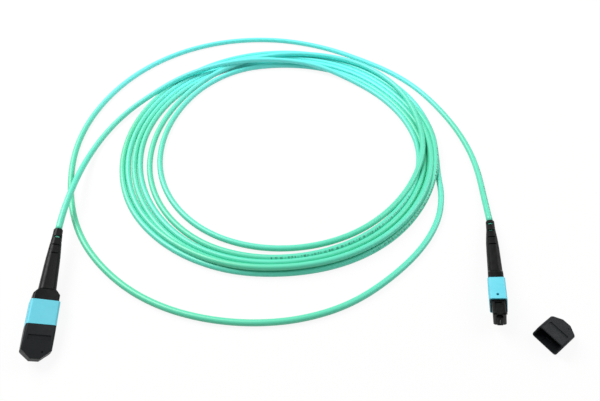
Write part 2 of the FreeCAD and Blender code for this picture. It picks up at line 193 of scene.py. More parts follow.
# After each number of turns: how many lanes in from the edge, and how many strands beneath.
LANES = [
    # The first turn comes in over all the others and lies down inside them.
    (-0.12, 0.6, 1.0),
    (-0.07, 3.6, 1.9),
    (-0.04, 4.2, 1.8),
    (-0.01, 4.4, 1.3),
    (0.05, 4.9, 0.9),
    (0.1, 5.5, 0.1),
    (0.14, 5.3, 0.0),
    (0.19, 4.7, 0.0),
    (0.26, 3.0, 0.0),
    (0.43, 3.0, 0.0),
    (0.52, 2.85, 0.0),
    (0.6, 3.2, 0.0),
    (0.68, 4.4, 0.0),
    (0.77, 5.15, 0.0),
    (0.84, 5.0, 0.1),
    (0.88, 4.5, 0.4),
    # It works its way out on top, and the second turn comes back in to the middle.
    (0.93, 3.7, 1.0),
    (1.0, 2.0, 1.0),
    (1.1, 0.5, 1.0),
    (1.14, 0.3, 1.0),
    (1.2, 2.0, 1.0),
    (1.29, 2.5, 1.0),
    (1.35, 4.0, 0.1),
    (1.51, 4.5, 0.0),
    (1.6, 5.35, 0.0),
    (1.68, 6.45, 0.0),
    (1.8, 6.95, 0.0),
    (1.86, 5.9, 0.0),
    (1.92, 4.6, 0.0),
    (1.97, 4.4, 0.0),
    # The others lie side by side on the table, and each moves out a lane near the right side.
    (2.0, 4.7, 0.0),
    (2.19, 4.05, 0.0),
    (2.26, 2.0, 0.0),
    (2.6, 2.05, 0.0),
    (2.68, 3.15, 0.0),
    (3.19, 3.05, 0.0),
    (3.26, 1.0, 0.0),
    (3.6, 1.05, 0.0),
    (3.68, 2.1, 0.0),
    (4.19, 2.05, 0.0),
    (4.25, 1.2, 1.0),
    (4.36, 0.6, 1.0),
    (4.55, 0.5, 1.0),
    (4.66, 1.0, 0.1),
    (5.19, 1.05, 0.0),
    (5.25, 0.2, 1.0),
    (5.31, 0.1, 1.0),
    (5.36, 0.0, 0.0),
    (6.24, 0.0, 0.0),
]
print("changes of lane:", len(LANES))

# %% Work out the coil's turns
COIL_CENTRE = (-5.4, 94.5)
POINTS_PER_TURN = 18
START_ANGLE = 95
# How far the outermost turn lies from the centre, at equal angles from the right side.
EDGE = (88.3, 91.7, 94.0, 96.0, 99.0, 100.0, 100.2, 98.6, 93.4, 87.9, 86.7, 86.9)
EDGE_STEP = 360 / len(EDGE)
LANE_PITCH = 3.25


def edge_at(angle):
    """The distance of the coil's edge from its centre, in degrees from the right side."""
    sector, share = divmod(angle % 360 / EDGE_STEP, 1)
    here = EDGE[int(sector)]
    return here + (EDGE[(int(sector) + 1) % len(EDGE)] - here) * share


def lane(turn):
    """The lane and the layer after a number of turns, between two rows of the list."""
    for (t0, *start), (t1, *end) in zip(LANES, LANES[1:]):
        if turn <= t1:
            return [a + (b - a) * (turn - t0) / (t1 - t0) for a, b in zip(start, end)]
    return LANES[-1][1:]


def coil_point(turn):
    """A point of the coil after a number of turns, clockwise from its far side."""
    angle = START_ANGLE - 360 * turn
    lanes_in, layer = lane(turn)
    radius = edge_at(angle) - LANE_PITCH * lanes_in
    x = COIL_CENTRE[0] + radius * math.cos(math.radians(angle))
    y = COIL_CENTRE[1] + radius * math.sin(math.radians(angle))
    return (x, y, CABLE_R + 2 * CABLE_R * layer)


steps = round((LAST_TURN - FIRST_TURN) * POINTS_PER_TURN)
coil = [coil_point(FIRST_TURN + (LAST_TURN - FIRST_TURN) * k / steps) for k in range(steps + 1)]
print("coil:", len(coil), "points over", round(LAST_TURN - FIRST_TURN, 2), "turns")

# %% Lay the centreline
STEPS_PER_POINT = 10
route = [Vector(p) * MM for p in LEAD_LEFT + coil + LEAD_RIGHT]
route = [boot_tips["left"]] + route + [boot_tips["right"]]
line = bpy.data.curves.new("cable_line", "CURVE")
line.dimensions = "3D"
spline = line.splines.new("NURBS")
spline.points.add(len(route) - 1)
for point, place in zip(spline.points, route):
    point.co = (*place, 1.0)
spline.order_u = 3
spline.use_endpoint_u = True
spline.resolution_u = STEPS_PER_POINT
line_object = bpy.data.objects.new("cable_line", line)
bpy.context.scene.collection.objects.link(line_object)
bpy.context.view_layer.update()
graph = bpy.context.evaluated_depsgraph_get()
line_mesh = bpy.data.meshes.new_from_object(line_object.evaluated_get(graph))
centreline = [v.co.copy() for v in line_mesh.vertices]
bpy.data.objects.remove(line_object)


def run_length(points):
    return sum((b - a).length for a, b in zip(points, points[1:]))


# %% [markdown]
# ## The cable's jacket
# The jacket is a round tube extruded around the fibres, 3.2 mm across. A curve with a bevel
# would draw it, but a mesh tube also takes a UV map, and with one the print and the faint
# colour drift can follow the cable: U is metres along it, and V goes once around it from the
# side that faces up.


# %% Make a tool that sweeps a tube
def add_piece(name, mesh):
    piece = bpy.data.objects.new(name, mesh)
    bpy.context.scene.collection.objects.link(piece)
    return piece


def tube(name, points, radius, sides=20):
    """A closed tube along points, with U in metres along it and V around it."""
    mesh = bpy.data.meshes.new(name)
    build = bmesh.new()
    uv = build.loops.layers.uv.new("UVMap")
    angles = [2 * math.pi * j / sides for j in range(sides)]
    rings = []
    run = [0.0]
    for a, b in zip(points, points[1:]):
        run.append(run[-1] + (b - a).length)
    for k, here in enumerate(points):
        ahead = points[min(k + 1, len(points) - 1)] - points[max(k - 1, 0)]
        side = ahead.cross(Vector((0, 0, 1))).normalized()
        up = side.cross(ahead).normalized()
        ring = [here + radius * (up * math.cos(t) + side * math.sin(t)) for t in angles]
        rings.append([build.verts.new(place) for place in ring])
    for k, (near, far) in enumerate(zip(rings, rings[1:])):
        for j in range(sides):
            i = (j + 1) % sides
            face = build.faces.new((near[j], near[i], far[i], far[j]))
            corners = ((run[k], j), (run[k], j + 1), (run[k + 1], j + 1), (run[k + 1], j))
            for loop, (u, v) in zip(face.loops, corners):
                loop[uv].uv = (u, v / sides)
    build.faces.new(rings[0][::-1])
    build.faces.new(rings[-1])
    bmesh.ops.recalc_face_normals(build, faces=build.faces)
    for face in build.faces:
        face.smooth = len(face.verts) == 4
    build.to_mesh(mesh)
    build.free()
    return add_piece(name, mesh)


print("the jacket will have", len(centreline), "rings")

# %% Sweep the jacket
cable = tube("cable_jacket", centreline, CABLE_R * MM)
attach(cable, "lead")
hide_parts("cord_lead_left", "cord_coil", "cord_lead_right")
print("jacket:", len(cable.data.polygons), "faces")

# %% [markdown]
# ## Tools for the materials
# Two helpers do for every finish. One turns a colour from its usual hex form into the linear
# values that the renderer counts in. The other adds a node to a tree: its settings are
# properties, and each of its inputs takes a plain value, another node's output, or another
# node, which stands for its own first output.


# %% Colours and nodes
def linear(hex_colour):
    """An sRGB hex colour as linear red, green, blue and alpha."""
    channels = [int(hex_colour[k : k + 2], 16) / 255 for k in (1, 3, 5)]
    return [c / 12.92 if c <= 0.04045 else ((c + 0.055) / 1.055) ** 2.4 for c in channels] + [1.0]


def add(tree, kind, inputs=None, **settings):
    node = tree.nodes.new(kind)
    for key, value in settings.items():
        setattr(node, key, value)
    for key, value in (inputs or {}).items():
        if isinstance(value, bpy.types.Node):
            value = value.outputs[0]
        if isinstance(value, bpy.types.NodeSocket):
            tree.links.new(value, node.inputs[key])
        else:
            node.inputs[key].default_value = value
    return node


def new_material(name, **sockets):
    """A material with a Principled shader whose constant values are set by name."""
    material = bpy.data.materials.new(name)
    material.use_nodes = True
    shader = material.node_tree.nodes["Principled BSDF"]
    for key, value in sockets.items():
        shader.inputs[key.replace("_", " ")].default_value = value
    return material, material.node_tree, shader


def per_mm(size):
    """The texture scale at which a pattern's grains are about this many millimetres across."""
    return 1.0 / (size * MM)


print("aqua in linear light:", [round(c, 3) for c in linear("#6FD5EA")])

# %% [markdown]
# ## The jacket's material
# The jacket is LSZH, a halogen-free filled plastic that is extruded around the fibres. To the
# eye it is a satin aqua with a little depth. The masterbatch isn't quite even, so the colour
# drifts between mint and cyan, and the die leaves hair-fine lines along the cable. Towards the
# far side the colour also turns a paler cyan, and that paleness is painted light.

# %% Tint the jacket
lszh, tree, shader = new_material(
    "extruded_lszh_jacket",
    IOR=1.5,
    Specular_IOR_Level=0.75,
    Subsurface_Weight=0.04,
    Subsurface_Scale=0.5 * MM,
    Subsurface_Radius=(0.5, 1.0, 0.9),
)
uv = add(tree, "ShaderNodeUVMap", uv_map="UVMap")
split = add(tree, "ShaderNodeSeparateXYZ", {"Vector": uv})
along = split.outputs["X"]
around = split.outputs["Y"]
place = add(tree, "ShaderNodeTexCoord").outputs["Object"]
spot = add(tree, "ShaderNodeSeparateXYZ", {"Vector": place})
# Mint near the room and a paler cyan at the far side, where the paleness is painted light,
# with a drift between mint and cyan over a hand's width on top.
far = add(
    tree,
    "ShaderNodeMapRange",
    {"Value": spot.outputs["Y"], "From Min": 0.10, "From Max": 0.18, "To Max": 0.85},
    interpolation_type="SMOOTHSTEP",
)
drift = add(
    tree,
    "ShaderNodeTexNoise",
    {"W": along, "Scale": per_mm(230), "Detail": 1.0},
    noise_dimensions="1D",
)
wave = add(
    tree,
    "ShaderNodeMapRange",
    {"Value": drift, "From Min": 0.35, "From Max": 0.65, "To Max": 0.3},
)
drift_and_painted_light = add(tree, "ShaderNodeMath", {0: far, 1: wave}, operation="ADD", use_clamp=True)
# The second colour is cyan and lighter too: the lightness is painted light for the far side.
base = add(
    tree,
    "ShaderNodeMix",
    {"Factor": drift_and_painted_light, "A": linear("#58D2A8"), "B": linear("#68F0EA")},
    data_type="RGBA",
)
print("jacket material:", len(tree.nodes), "nodes for the tint")

# %% Draw the die lines
# A noise that is 40 mm long and about a seventh of a millimetre wide. The real lines are
# finer, too fine to show.
LINES_PER_METRE = 25.0
LINES_AROUND = 70.0
line_u = add(tree, "ShaderNodeMath", {0: along, 1: LINES_PER_METRE}, operation="MULTIPLY")
line_v = add(tree, "ShaderNodeMath", {0: around, 1: LINES_AROUND}, operation="MULTIPLY")
line_at = add(tree, "ShaderNodeCombineXYZ", {"X": line_u, "Y": line_v})
die_lines = add(tree, "ShaderNodeTexNoise", {"Vector": line_at, "Scale": 1.0, "Detail": 3.0})
shade = add(tree, "ShaderNodeMapRange", {"Value": die_lines, "To Min": 0.96, "To Max": 1.03})
lined = add(
    tree,
    "ShaderNodeVectorMath",
    {0: base.outputs[2], "Scale": shade},
    operation="SCALE",
)
rough = add(tree, "ShaderNodeMapRange", {"Value": die_lines, "To Min": 0.34, "To Max": 0.46})
bump = add(
    tree,
    "ShaderNodeBump",
    {"Height": die_lines, "Strength": 0.2, "Distance": 0.02 * MM},
)
tree.links.new(rough.outputs[0], shader.inputs["Roughness"])
tree.links.new(bump.outputs[0], shader.inputs["Normal"])
print("jacket material:", len(tree.nodes), "nodes with the die lines")

# %% [markdown]
# ## The row of print
# The maker's print is left out. A short row of plain dashes of uneven length stands in its
# place, a little worn, again after every 1.3 m. It is drawn in the tube's own U and V, so it
# follows the cable. Its start is measured along the centreline from a turn of the coil.

# %% Print the dashes
# The turn where the row starts, its length and how often it comes again, in metres.
PRINT_TURN, PRINT_LENGTH, PRINT_REPEAT = 0.355, 0.088, 1.3
# Where around the jacket the row is, and how much of the way round it takes.
PRINT_V, PRINT_HIGH = 0.9, 0.12
points_before = len(LEAD_LEFT) + 0.5 + (PRINT_TURN - FIRST_TURN) * POINTS_PER_TURN
PRINT_START = run_length(centreline[: round(STEPS_PER_POINT * points_before) + 1])
dashes = add(
    tree,
    "ShaderNodeTexNoise",
    {"W": along, "Scale": per_mm(1.3), "Detail": 0.0},
    noise_dimensions="1D",
)
since = add(tree, "ShaderNodeMath", {0: along, 1: PRINT_START}, operation="SUBTRACT")
since = add(tree, "ShaderNodeMath", {0: since, 1: PRINT_REPEAT}, operation="FLOORED_MODULO")
off_line = add(tree, "ShaderNodeMath", {0: around, 1: PRINT_V}, operation="SUBTRACT")
off_line = add(tree, "ShaderNodeMath", {0: off_line}, operation="ABSOLUTE")
wear = add(tree, "ShaderNodeTexNoise", {"Vector": place, "Scale": per_mm(0.8)})
unworn = add(
    tree,
    "ShaderNodeMapRange",
    {"Value": wear, "From Min": 0.3, "From Max": 0.6, "To Max": 0.75},
)
dash_on = add(tree, "ShaderNodeMath", {0: dashes, 1: 0.5}, operation="GREATER_THAN")
row_on = add(tree, "ShaderNodeMath", {0: since, 1: PRINT_LENGTH}, operation="LESS_THAN")
on_line = add(tree, "ShaderNodeMath", {0: off_line, 1: PRINT_HIGH / 2}, operation="LESS_THAN")
ink = dash_on
for share in (row_on, on_line, unworn):
    ink = add(tree, "ShaderNodeMath", {0: ink, 1: share}, operation="MULTIPLY")
printed = add(
    tree,
    "ShaderNodeMix",
    {"Factor": ink, "A": lined.outputs[0], "B": linear("#1F5F50")},
    data_type="RGBA",
)
tree.links.new(printed.outputs[2], shader.inputs["Base Color"])
cable.data.materials.append(lszh)
print("print starts", round(PRINT_START, 3), "m along;", len(tree.nodes), "nodes in all")

# %% [markdown]
# ## Moulded plastics
# The sleeve, the housing, the rear body and the caps are injection moulded, and the mould's
# walls are spark eroded to a fine, dry grain. What the eye gets is a soft sheen with a faint
# sparkle, and a slow change of gloss where the melt cooled unevenly. The real grain is about
# 0.05 mm, too fine to show, so it is drawn at 0.25 mm. One recipe does for all of them, with
# its own colours, gloss and depth of grain for each plastic.


# %% Write the recipe for a moulded plastic
def moulded(name, colours, roughness, grain_depth, speck=None, **sockets):
    """An injection-moulded plastic: two close colours, a range of roughness, and grain."""
    material, tree, shader = new_material(name, **sockets)
    at = add(tree, "ShaderNodeTexCoord").outputs["Object"]
    flow = add(tree, "ShaderNodeTexNoise", {"Vector": at, "Scale": per_mm(4), "Detail": 3.0})
    main, mottled = [linear(colour) for colour in colours]
    surface = add(
        tree,
        "ShaderNodeMix",
        {"Factor": flow, "A": main, "B": mottled},
        data_type="RGBA",
    ).outputs[2]
    if speck:
        # Short glass fibres near the surface catch the light as pale specks.
        cells = add(tree, "ShaderNodeTexVoronoi", {"Vector": at, "Scale": per_mm(0.35)})
        near = add(
            tree,
            "ShaderNodeMapRange",
            {"Value": cells.outputs["Distance"], "From Max": 0.2, "To Min": 0.35, "To Max": 0},
        )
        surface = add(
            tree,
            "ShaderNodeMix",
            {"Factor": near, "A": surface, "B": linear(speck)},
            data_type="RGBA",
        ).outputs[2]
    tree.links.new(surface, shader.inputs["Base Color"])
    gloss, dull = roughness
    sheen = add(tree, "ShaderNodeTexNoise", {"Vector": at, "Scale": per_mm(2), "Detail": 4.0})
    rough = add(
        tree,
        "ShaderNodeMapRange",
        {"Value": sheen, "From Min": 0.3, "From Max": 0.7, "To Min": gloss, "To Max": dull},
    )
    tree.links.new(rough.outputs[0], shader.inputs["Roughness"])
    grain = add(tree, "ShaderNodeTexNoise", {"Vector": at, "Scale": per_mm(0.25), "Detail": 2.0})
    bump = add(
        tree,
        "ShaderNodeBump",
        {"Height": grain, "Strength": 0.5, "Distance": grain_depth * MM},
    )
    tree.links.new(bump.outputs[0], shader.inputs["Normal"])
    return material


print("recipe for moulded plastics is ready")

# %% Mould the connector's plastics
# PBT for the sleeve: dense, slippery and evenly dyed.
pbt_aqua = moulded(
    "moulded_pbt_aqua",
    ("#5CC5D8", "#68CFE0"),
    roughness=(0.36, 0.5),
    grain_depth=0.02,
    IOR=1.55,
    Specular_IOR_Level=0.4,
)
# Glass-filled PEI for the housing and rear body: near-black with a hard sheen.
pei_black = moulded(
    "moulded_pei_black",
    ("#080909", "#0D0E0F"),
    roughness=(0.28, 0.42),
    grain_depth=0.02,
    speck="#1E1F21",
    IOR=1.6,
    Specular_IOR_Level=0.1,
)
# Soft ABS for the dust caps: charcoal, duller than the housing.
abs_charcoal = moulded(
    "moulded_abs_charcoal",
    ("#1A1D1F", "#202325"),
    roughness=(0.34, 0.48),
    grain_depth=0.03,
    IOR=1.53,
    Specular_IOR_Level=0.11,
)
print("so far:", pbt_aqua.name, pei_black.name, abs_charcoal.name)

# %% Mould the rubbers and the ferrule's resin
# Thermoplastic elastomer for the boot: it scatters light widely, as rubber does.
tpe_black = moulded(
    "moulded_tpe_black",
    ("#0B0B0B", "#111111"),
    roughness=(0.34, 0.5),
    grain_depth=0.035,
    IOR=1.5,
    Specular_IOR_Level=0.18,
)
# Glass-filled PPS for the ferrule, polished at its face: dark, hard and full of specks.
pps_dark = moulded(
    "moulded_pps_dark",
    ("#0A0909", "#100F0F"),
    roughness=(0.24, 0.36),
    grain_depth=0.01,
    speck="#1E1C1B",
    IOR=1.65,
    Specular_IOR_Level=0.03,
)
# Silicone rubber for the small boot behind the ferrule.
silicone_grey = moulded(
    "moulded_silicone_grey",
    ("#5A5D60", "#66696C"),
    roughness=(0.45, 0.6),
    grain_depth=0.02,
    IOR=1.41,
)
print("and:", tpe_black.name, pps_dark.name, silicone_grey.name)

# %% [markdown]
# ## Metals and glass
# The springs are drawn stainless wire and the crimp ring and pin keeper are stamped and
# nickel plated. Both are metal all through, so their colour is the colour of their
# reflections, and fine streaks along the draw break them up. Real streaks are a hundredth of
# a millimetre wide, too fine to show, so they are drawn ten to thirty times as wide. The
# fibres' ends are polished glass, flush with the ferrule's face.


# %% Make the metals
def worked_metal(name, colours, roughness, streak):
    """A metal with fine streaks; streak gives their size in millimetres along X, Y and Z."""
    material, tree, shader = new_material(name, Metallic=1.0)
    place = add(tree, "ShaderNodeTexCoord")
    stretched = add(
        tree,
        "ShaderNodeMapping",
        {"Vector": place.outputs["Object"], "Scale": [per_mm(s) for s in streak]},
    )
    streaks = add(
        tree,
        "ShaderNodeTexNoise",
        {"Vector": stretched, "Scale": 1.0, "Detail": 4.0},
    )
    bright, shaded = [linear(colour) for colour in colours]
    surface = add(
        tree,
        "ShaderNodeMix",
        {"Factor": streaks, "A": bright, "B": shaded},
        data_type="RGBA",
    )
    tree.links.new(surface.outputs[2], shader.inputs["Base Color"])
    gloss, dull = roughness
    rough = add(tree, "ShaderNodeMapRange", {"Value": streaks, "To Min": gloss, "To Max": dull})
    tree.links.new(rough.outputs[0], shader.inputs["Roughness"])
    bump = add(
        tree,
        "ShaderNodeBump",
        {"Height": streaks, "Strength": 0.3, "Distance": 0.01 * MM},
    )
    tree.links.new(bump.outputs[0], shader.inputs["Normal"])
    return material


spring_steel = worked_metal(
    "drawn_stainless_steel", ("#C9CBCD", "#9FA1A4"), (0.18, 0.36), streak=(0.1, 0.4, 0.1)
)
nickel = worked_metal(
    "nickel_plated_brass", ("#CFC9BE", "#A9A49B"), (0.2, 0.4), streak=(0.3, 1.5, 0.3)
)
print("metals:", spring_steel.name, nickel.name)

# %% Make the glass
silica, tree, shader = new_material("polished_silica_fibre", IOR=1.46)
place = add(tree, "ShaderNodeTexCoord").outputs["Object"]
cloud = add(tree, "ShaderNodeTexNoise", {"Vector": place, "Scale": per_mm(0.1)})
surface = add(
    tree,
    "ShaderNodeMix",
    {"Factor": cloud, "A": linear("#E4ECEC"), "B": linear("#B9C6C8")},
    data_type="RGBA",
)
tree.links.new(surface.outputs[2], shader.inputs["Base Color"])
rough = add(tree, "ShaderNodeMapRange", {"Value": cloud, "To Min": 0.03, "To Max": 0.1})
tree.links.new(rough.outputs[0], shader.inputs["Roughness"])
print("glass:", silica.name)

# %% [markdown]
# ## The ribbon's twelve colours
# Fibre makers dye the coats of twelve fibres in one standard order, so that an installer can
# tell them apart: blue, orange, green, brown, slate, white, red, black, yellow, violet, rose
# and aqua. Each strand of the ribbon carries its number as an attribute of the mesh, and a
# stepped colour ramp turns the number into its dye.

# %% Make the dyed coats
FIBRES = 12
FIBRE_DYES = ("#2B5FB3", "#E8782A", "#2F8F4E", "#7A4A2B", "#8C949B", "#E9EAE6")
FIBRE_DYES += ("#C8303A", "#1F2022", "#E9D13A", "#7B4FA0", "#E79BB0", "#5FCFC8")
acrylate, tree, shader = new_material("dyed_acrylate_coat", Roughness=0.35, IOR=1.5)
number = add(tree, "ShaderNodeAttribute", attribute_name="fibre").outputs["Fac"]
share = add(tree, "ShaderNodeMath", {0: number, 1: 1 / FIBRES}, operation="MULTIPLY")
share = add(tree, "ShaderNodeMath", {0: share, 1: 0.5 / FIBRES}, operation="ADD")
ramp = add(tree, "ShaderNodeValToRGB", {"Fac": share})
ramp.color_ramp.interpolation = "CONSTANT"
for k, dye in enumerate(FIBRE_DYES):
    stop = ramp.color_ramp.elements[0] if k == 0 else ramp.color_ramp.elements.new(k / FIBRES)
    stop.color = linear(dye)
while len(ramp.color_ramp.elements) > FIBRES:
    ramp.color_ramp.elements.remove(ramp.color_ramp.elements[-1])
place = add(tree, "ShaderNodeTexCoord").outputs["Object"]
ripple = add(tree, "ShaderNodeTexNoise", {"Vector": place, "Scale": per_mm(0.5)})
shade = add(tree, "ShaderNodeMapRange", {"Value": ripple, "To Min": 0.85, "To Max": 1.1})
coat = add(tree, "ShaderNodeVectorMath", {0: ramp, "Scale": shade}, operation="SCALE")
tree.links.new(coat.outputs[0], shader.inputs["Base Color"])
print("dyes:", len(ramp.color_ramp.elements))

# %% [markdown]
# ## Tools for the shapes
# Nearly every piece of a connector is a rounded rectangle that is drawn along its axis, with
# pockets and windows milled out of it. So there are four tools: an outline, a loft through
# outlines, a carve that takes other shapes away, and a finish that lays the result in its
# place with a small bevel on its crisp edges, because a mould can't make a knife edge and a
# small round is what catches the light.


# %% Outlines and lofts
def rounded(width, thick, radius, steps=8):
    """A rectangle with round corners, across X, as (y, z) points."""
    outline = []
    for k, (y, z) in enumerate(((1, 1), (-1, 1), (-1, -1), (1, -1))):
        y_middle = y * (width / 2 - radius)
        z_middle = z * (thick / 2 - radius)
        for step in range(steps + 1):
            turn = math.radians(90 * (k + step / steps))
            y_at = y_middle + radius * math.cos(turn)
            outline.append((y_at, z_middle + radius * math.sin(turn)))
    return outline


def circle(radius, sides=40):
    turns = [2 * math.pi * k / sides for k in range(sides)]
    return [(radius * math.cos(t), radius * math.sin(t)) for t in turns]


def mend_normals(mesh):
    """Merges doubles and turns every face outwards."""
    build = bmesh.new()
    build.from_mesh(mesh)
    bmesh.ops.remove_doubles(build, verts=build.verts, dist=1e-5)
    bmesh.ops.recalc_face_normals(build, faces=build.faces)
    build.to_mesh(mesh)
    build.free()


def loft(sections):
    """A closed mesh through sections, each an x and an outline of equally many points."""
    mesh = bpy.data.meshes.new("loft")
    points = [(x, y, z) for x, outline in sections for y, z in outline]
    n = len(sections[0][1])
    faces = []
    for ring in range(len(sections) - 1):
        for k in range(n):
            a, b = ring * n + k, ring * n + (k + 1) % n
            faces.append((a, b, b + n, a + n))
    faces.append(tuple(range(n))[::-1])
    faces.append(tuple(range(len(points) - n, len(points))))
    mesh.from_pydata(points, [], faces)
    mend_normals(mesh)
    return mesh


print("a round corner has", len(rounded(4, 2, 0.5)) // 4, "points")


# %% Plain shapes
def bar(x0, x1, width, thick, radius, steps=8):
    return loft([(x, rounded(width, thick, radius, steps)) for x in (x0, x1)])


def brick(low, high):
    """A box between two corners."""
    x0, y0, z0 = low
    x1, y1, z1 = high
    return loft([(x, [(y1, z1), (y0, z1), (y0, z0), (y1, z0)]) for x in (x0, x1)])


def rod(start, end, radius, sides=32):
    """A round bar between two points."""
    start, end = Vector(start), Vector(end)
    mesh = loft([(x, circle(radius, sides)) for x in (0, (end - start).length)])
    turn = Vector((1, 0, 0)).rotation_difference(end - start)
    mesh.transform(Matrix.Translation(start) @ turn.to_matrix().to_4x4())
    return mesh


def both_sides(make):
    """What is made for the -1 and the +1 side."""
    return [make(side) for side in (-1, 1)]


print("plain shapes: bar, brick and rod")


# %% Carve and join
def combine(mesh, others, operation):
    """The mesh with the others taken away from it or joined to it."""
    target = add_piece("combine_target", mesh)
    tools = [add_piece("combine_tool", other) for other in others]
    for tool in tools:
        change = target.modifiers.new("change", "BOOLEAN")
        change.operation = operation
        change.solver = "EXACT"
        change.object = tool
    bpy.context.view_layer.update()
    graph = bpy.context.evaluated_depsgraph_get()
    result = bpy.data.meshes.new_from_object(target.evaluated_get(graph))
    for leftover in [target, *tools]:
        bpy.data.objects.remove(leftover)
    flat = math.radians(0.5)
    build = bmesh.new()
    build.from_mesh(result)
    bmesh.ops.remove_doubles(build, verts=build.verts, dist=1e-4)
    bmesh.ops.dissolve_limit(build, angle_limit=flat, verts=build.verts, edges=build.edges)
    build.to_mesh(result)
    build.free()
    return result


def carve(mesh, *cutters):
    return combine(mesh, cutters, "DIFFERENCE")


def join(mesh, *others):
    return combine(mesh, others, "UNION")


print("carving and joining are ready")


# %% Finish a piece
def finish_piece(name, mesh, place, material, bevel, body, cad_node):
    """Lays a mesh of the connector's millimetres in its place, softens its edges by bevel
    millimetres, and says what it rides on, replaces and takes its finish from."""
    placed = mesh.copy()
    placed.transform(place)
    placed.shade_smooth()
    piece = add_piece(name, placed)
    placed.materials.clear()
    placed.materials.append(material)
    if bevel:
        edge = piece.modifiers.new("soft_edges", "BEVEL")
        edge.width = bevel * MM
        edge.segments = 3
        edge.limit_method = "ANGLE"
        edge.angle_limit = math.radians(32)
        edge.miter_outer = "MITER_ARC"
        edge.use_clamp_overlap = False
        edge.harden_normals = True
    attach(piece, body)
    if cad_node:
        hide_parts(cad_node)
    return piece


# %% [markdown]
# ## The coupling sleeve
# The aqua sleeve is the part that a hand grips. It slides back over the rear body against
# two small springs, which lets go of the adapter's hooks. It is one moulded tube with a wide
# mouth at the front for the housing's collar, a wide mouth at the rear for the flange, a
# window in one wide face, and a small round hole in each narrow face. Inside, a groove for
# each small spring ends at a tab, which pushes it. Lofts and cuts make it as a mould would,
# cavity by cavity.

# %% Name the sizes that the connector's pieces share
SLEEVE_W, SLEEVE_T, SLEEVE_L = 12.4, 7.7, 11.6
HOUSING_W, HOUSING_T, HOUSING_L = 9.6, 5.6, 18.8
FLANGE_W, FLANGE_T, FLANGE_L = 11.2, 6.8, 5.7
COLLAR_W, COLLAR_T, COLLAR_START = 10.6, 6.7, 9.9
SLEEVE_R, HOUSING_R, FLANGE_R = 1.25, 0.6, 1.1
# The play between pieces that slide in each other.
SLIDE = 0.12
GROOVE_START, GROOVE_END, GROOVE_W, GROOVE_DEPTH = 1.6, 9.6, 1.7, 0.85
print("sleeve:", SLEEVE_W, "by", SLEEVE_T, "by", SLEEVE_L, "mm")

# %% Shape the sleeve
REAR_MOUTH, REAR_MOUTH_R = 2.6, 0.9
TAB_START, TAB_END = 8.3, 9.55
WINDOW_START, WINDOW_END, WINDOW_W = 3.2, 8.4, 5.6
HOLE_X, HOLE_R = 9.4, 0.6


def side_brick(side, x0, x1, y0, y1, width):
    """A box on the narrow face at -Y or +Y, between two heights above the axis."""
    low, high = sorted((side * y0, side * y1))
    return brick((x0, low, -width / 2), (x1, high, width / 2))


def spring_groove(side):
    return side_brick(side, 2.2, TAB_START, 4.7, 5.36, GROOVE_W)


def spring_tab(side):
    return side_brick(side, TAB_START, TAB_END, 4.05, 4.96, GROOVE_W - 2 * SLIDE)


def side_hole(side):
    return rod((HOLE_X, side * 4.6, 0), (HOLE_X, side * 6.6, 0), HOLE_R, 24)


# The bore for the housing comes first, then the two mouths, the grooves, window and holes.
sleeve_mesh = carve(
    bar(0, SLEEVE_L, SLEEVE_W, SLEEVE_T, SLEEVE_R, 10),
    bar(-1, SLEEVE_L + 1, HOUSING_W + SLIDE, HOUSING_T + SLIDE, HOUSING_R),
    bar(-1, REAR_MOUTH, FLANGE_W + SLIDE, FLANGE_T + SLIDE, REAR_MOUTH_R),
    bar(COLLAR_START - 0.05, SLEEVE_L + 1, COLLAR_W + SLIDE, COLLAR_T + SLIDE, HOUSING_R),
    *both_sides(spring_groove),
    brick((WINDOW_START, -WINDOW_W / 2, -SLEEVE_T), (WINDOW_END, WINDOW_W / 2, 0)),
    *both_sides(side_hole),
)
sleeve_mesh = join(sleeve_mesh, *both_sides(spring_tab))
print("sleeve:", len(sleeve_mesh.polygons), "faces")

# %% [markdown]
# ## The inner housing
# The black housing goes into the adapter. Its collar stops the sleeve, its side pockets are
# what the adapter's hooks catch, and its one key lets it in only one way up. Everything that
# the light can reach is cut as deep as on the real one, since the open nose shows it.

# %% Shape the housing
SIDE_FACE = HOUSING_W / 2
KEY_START, KEY_END, KEY_W, KEY_HEIGHT = 12.2, 15.3, 3.0, 0.6
# The throat that the ferrule's shoulder slides in, the nose's opening and the plug's mouth.
THROAT_END, THROAT_W, THROAT_T = 13.85, 7.3, 3.4
OPENING_START, OPENING_W, OPENING_T = 12.5, 6.6, 2.7
PLUG_END, PLUG_T = 4.5, 4.2
# The pockets for the adapter's hooks, the guides that lead to them, and the plug's catches.
HOOK_START, HOOK_END, HOOK_DEPTH, HOOK_W = 12.4, 15.2, 0.85, 3.0
GUIDE_START, GUIDE_DEPTH, GUIDE_W = 15.1, 0.35, 2.4
CATCH_START, CATCH_END, CATCH_W = 1.9, 3.5, 2.6

body_outline = rounded(HOUSING_W, HOUSING_T, HOUSING_R)
collar_outline = rounded(COLLAR_W, COLLAR_T, HOUSING_R)
nose_outline = rounded(HOUSING_W - 1.0, HOUSING_T - 1.0, 0.5)


def side_pocket(side, start, end, depth, width):
    return side_brick(side, start, end, SIDE_FACE - depth, SIDE_FACE + 1, width)


def catch_window(side):
    """A window in a wide face, where the rear body's plug snaps in."""
    low, high = sorted((0, side * HOUSING_T))
    return brick((CATCH_START, -CATCH_W / 2, low), (CATCH_END, CATCH_W / 2, high))


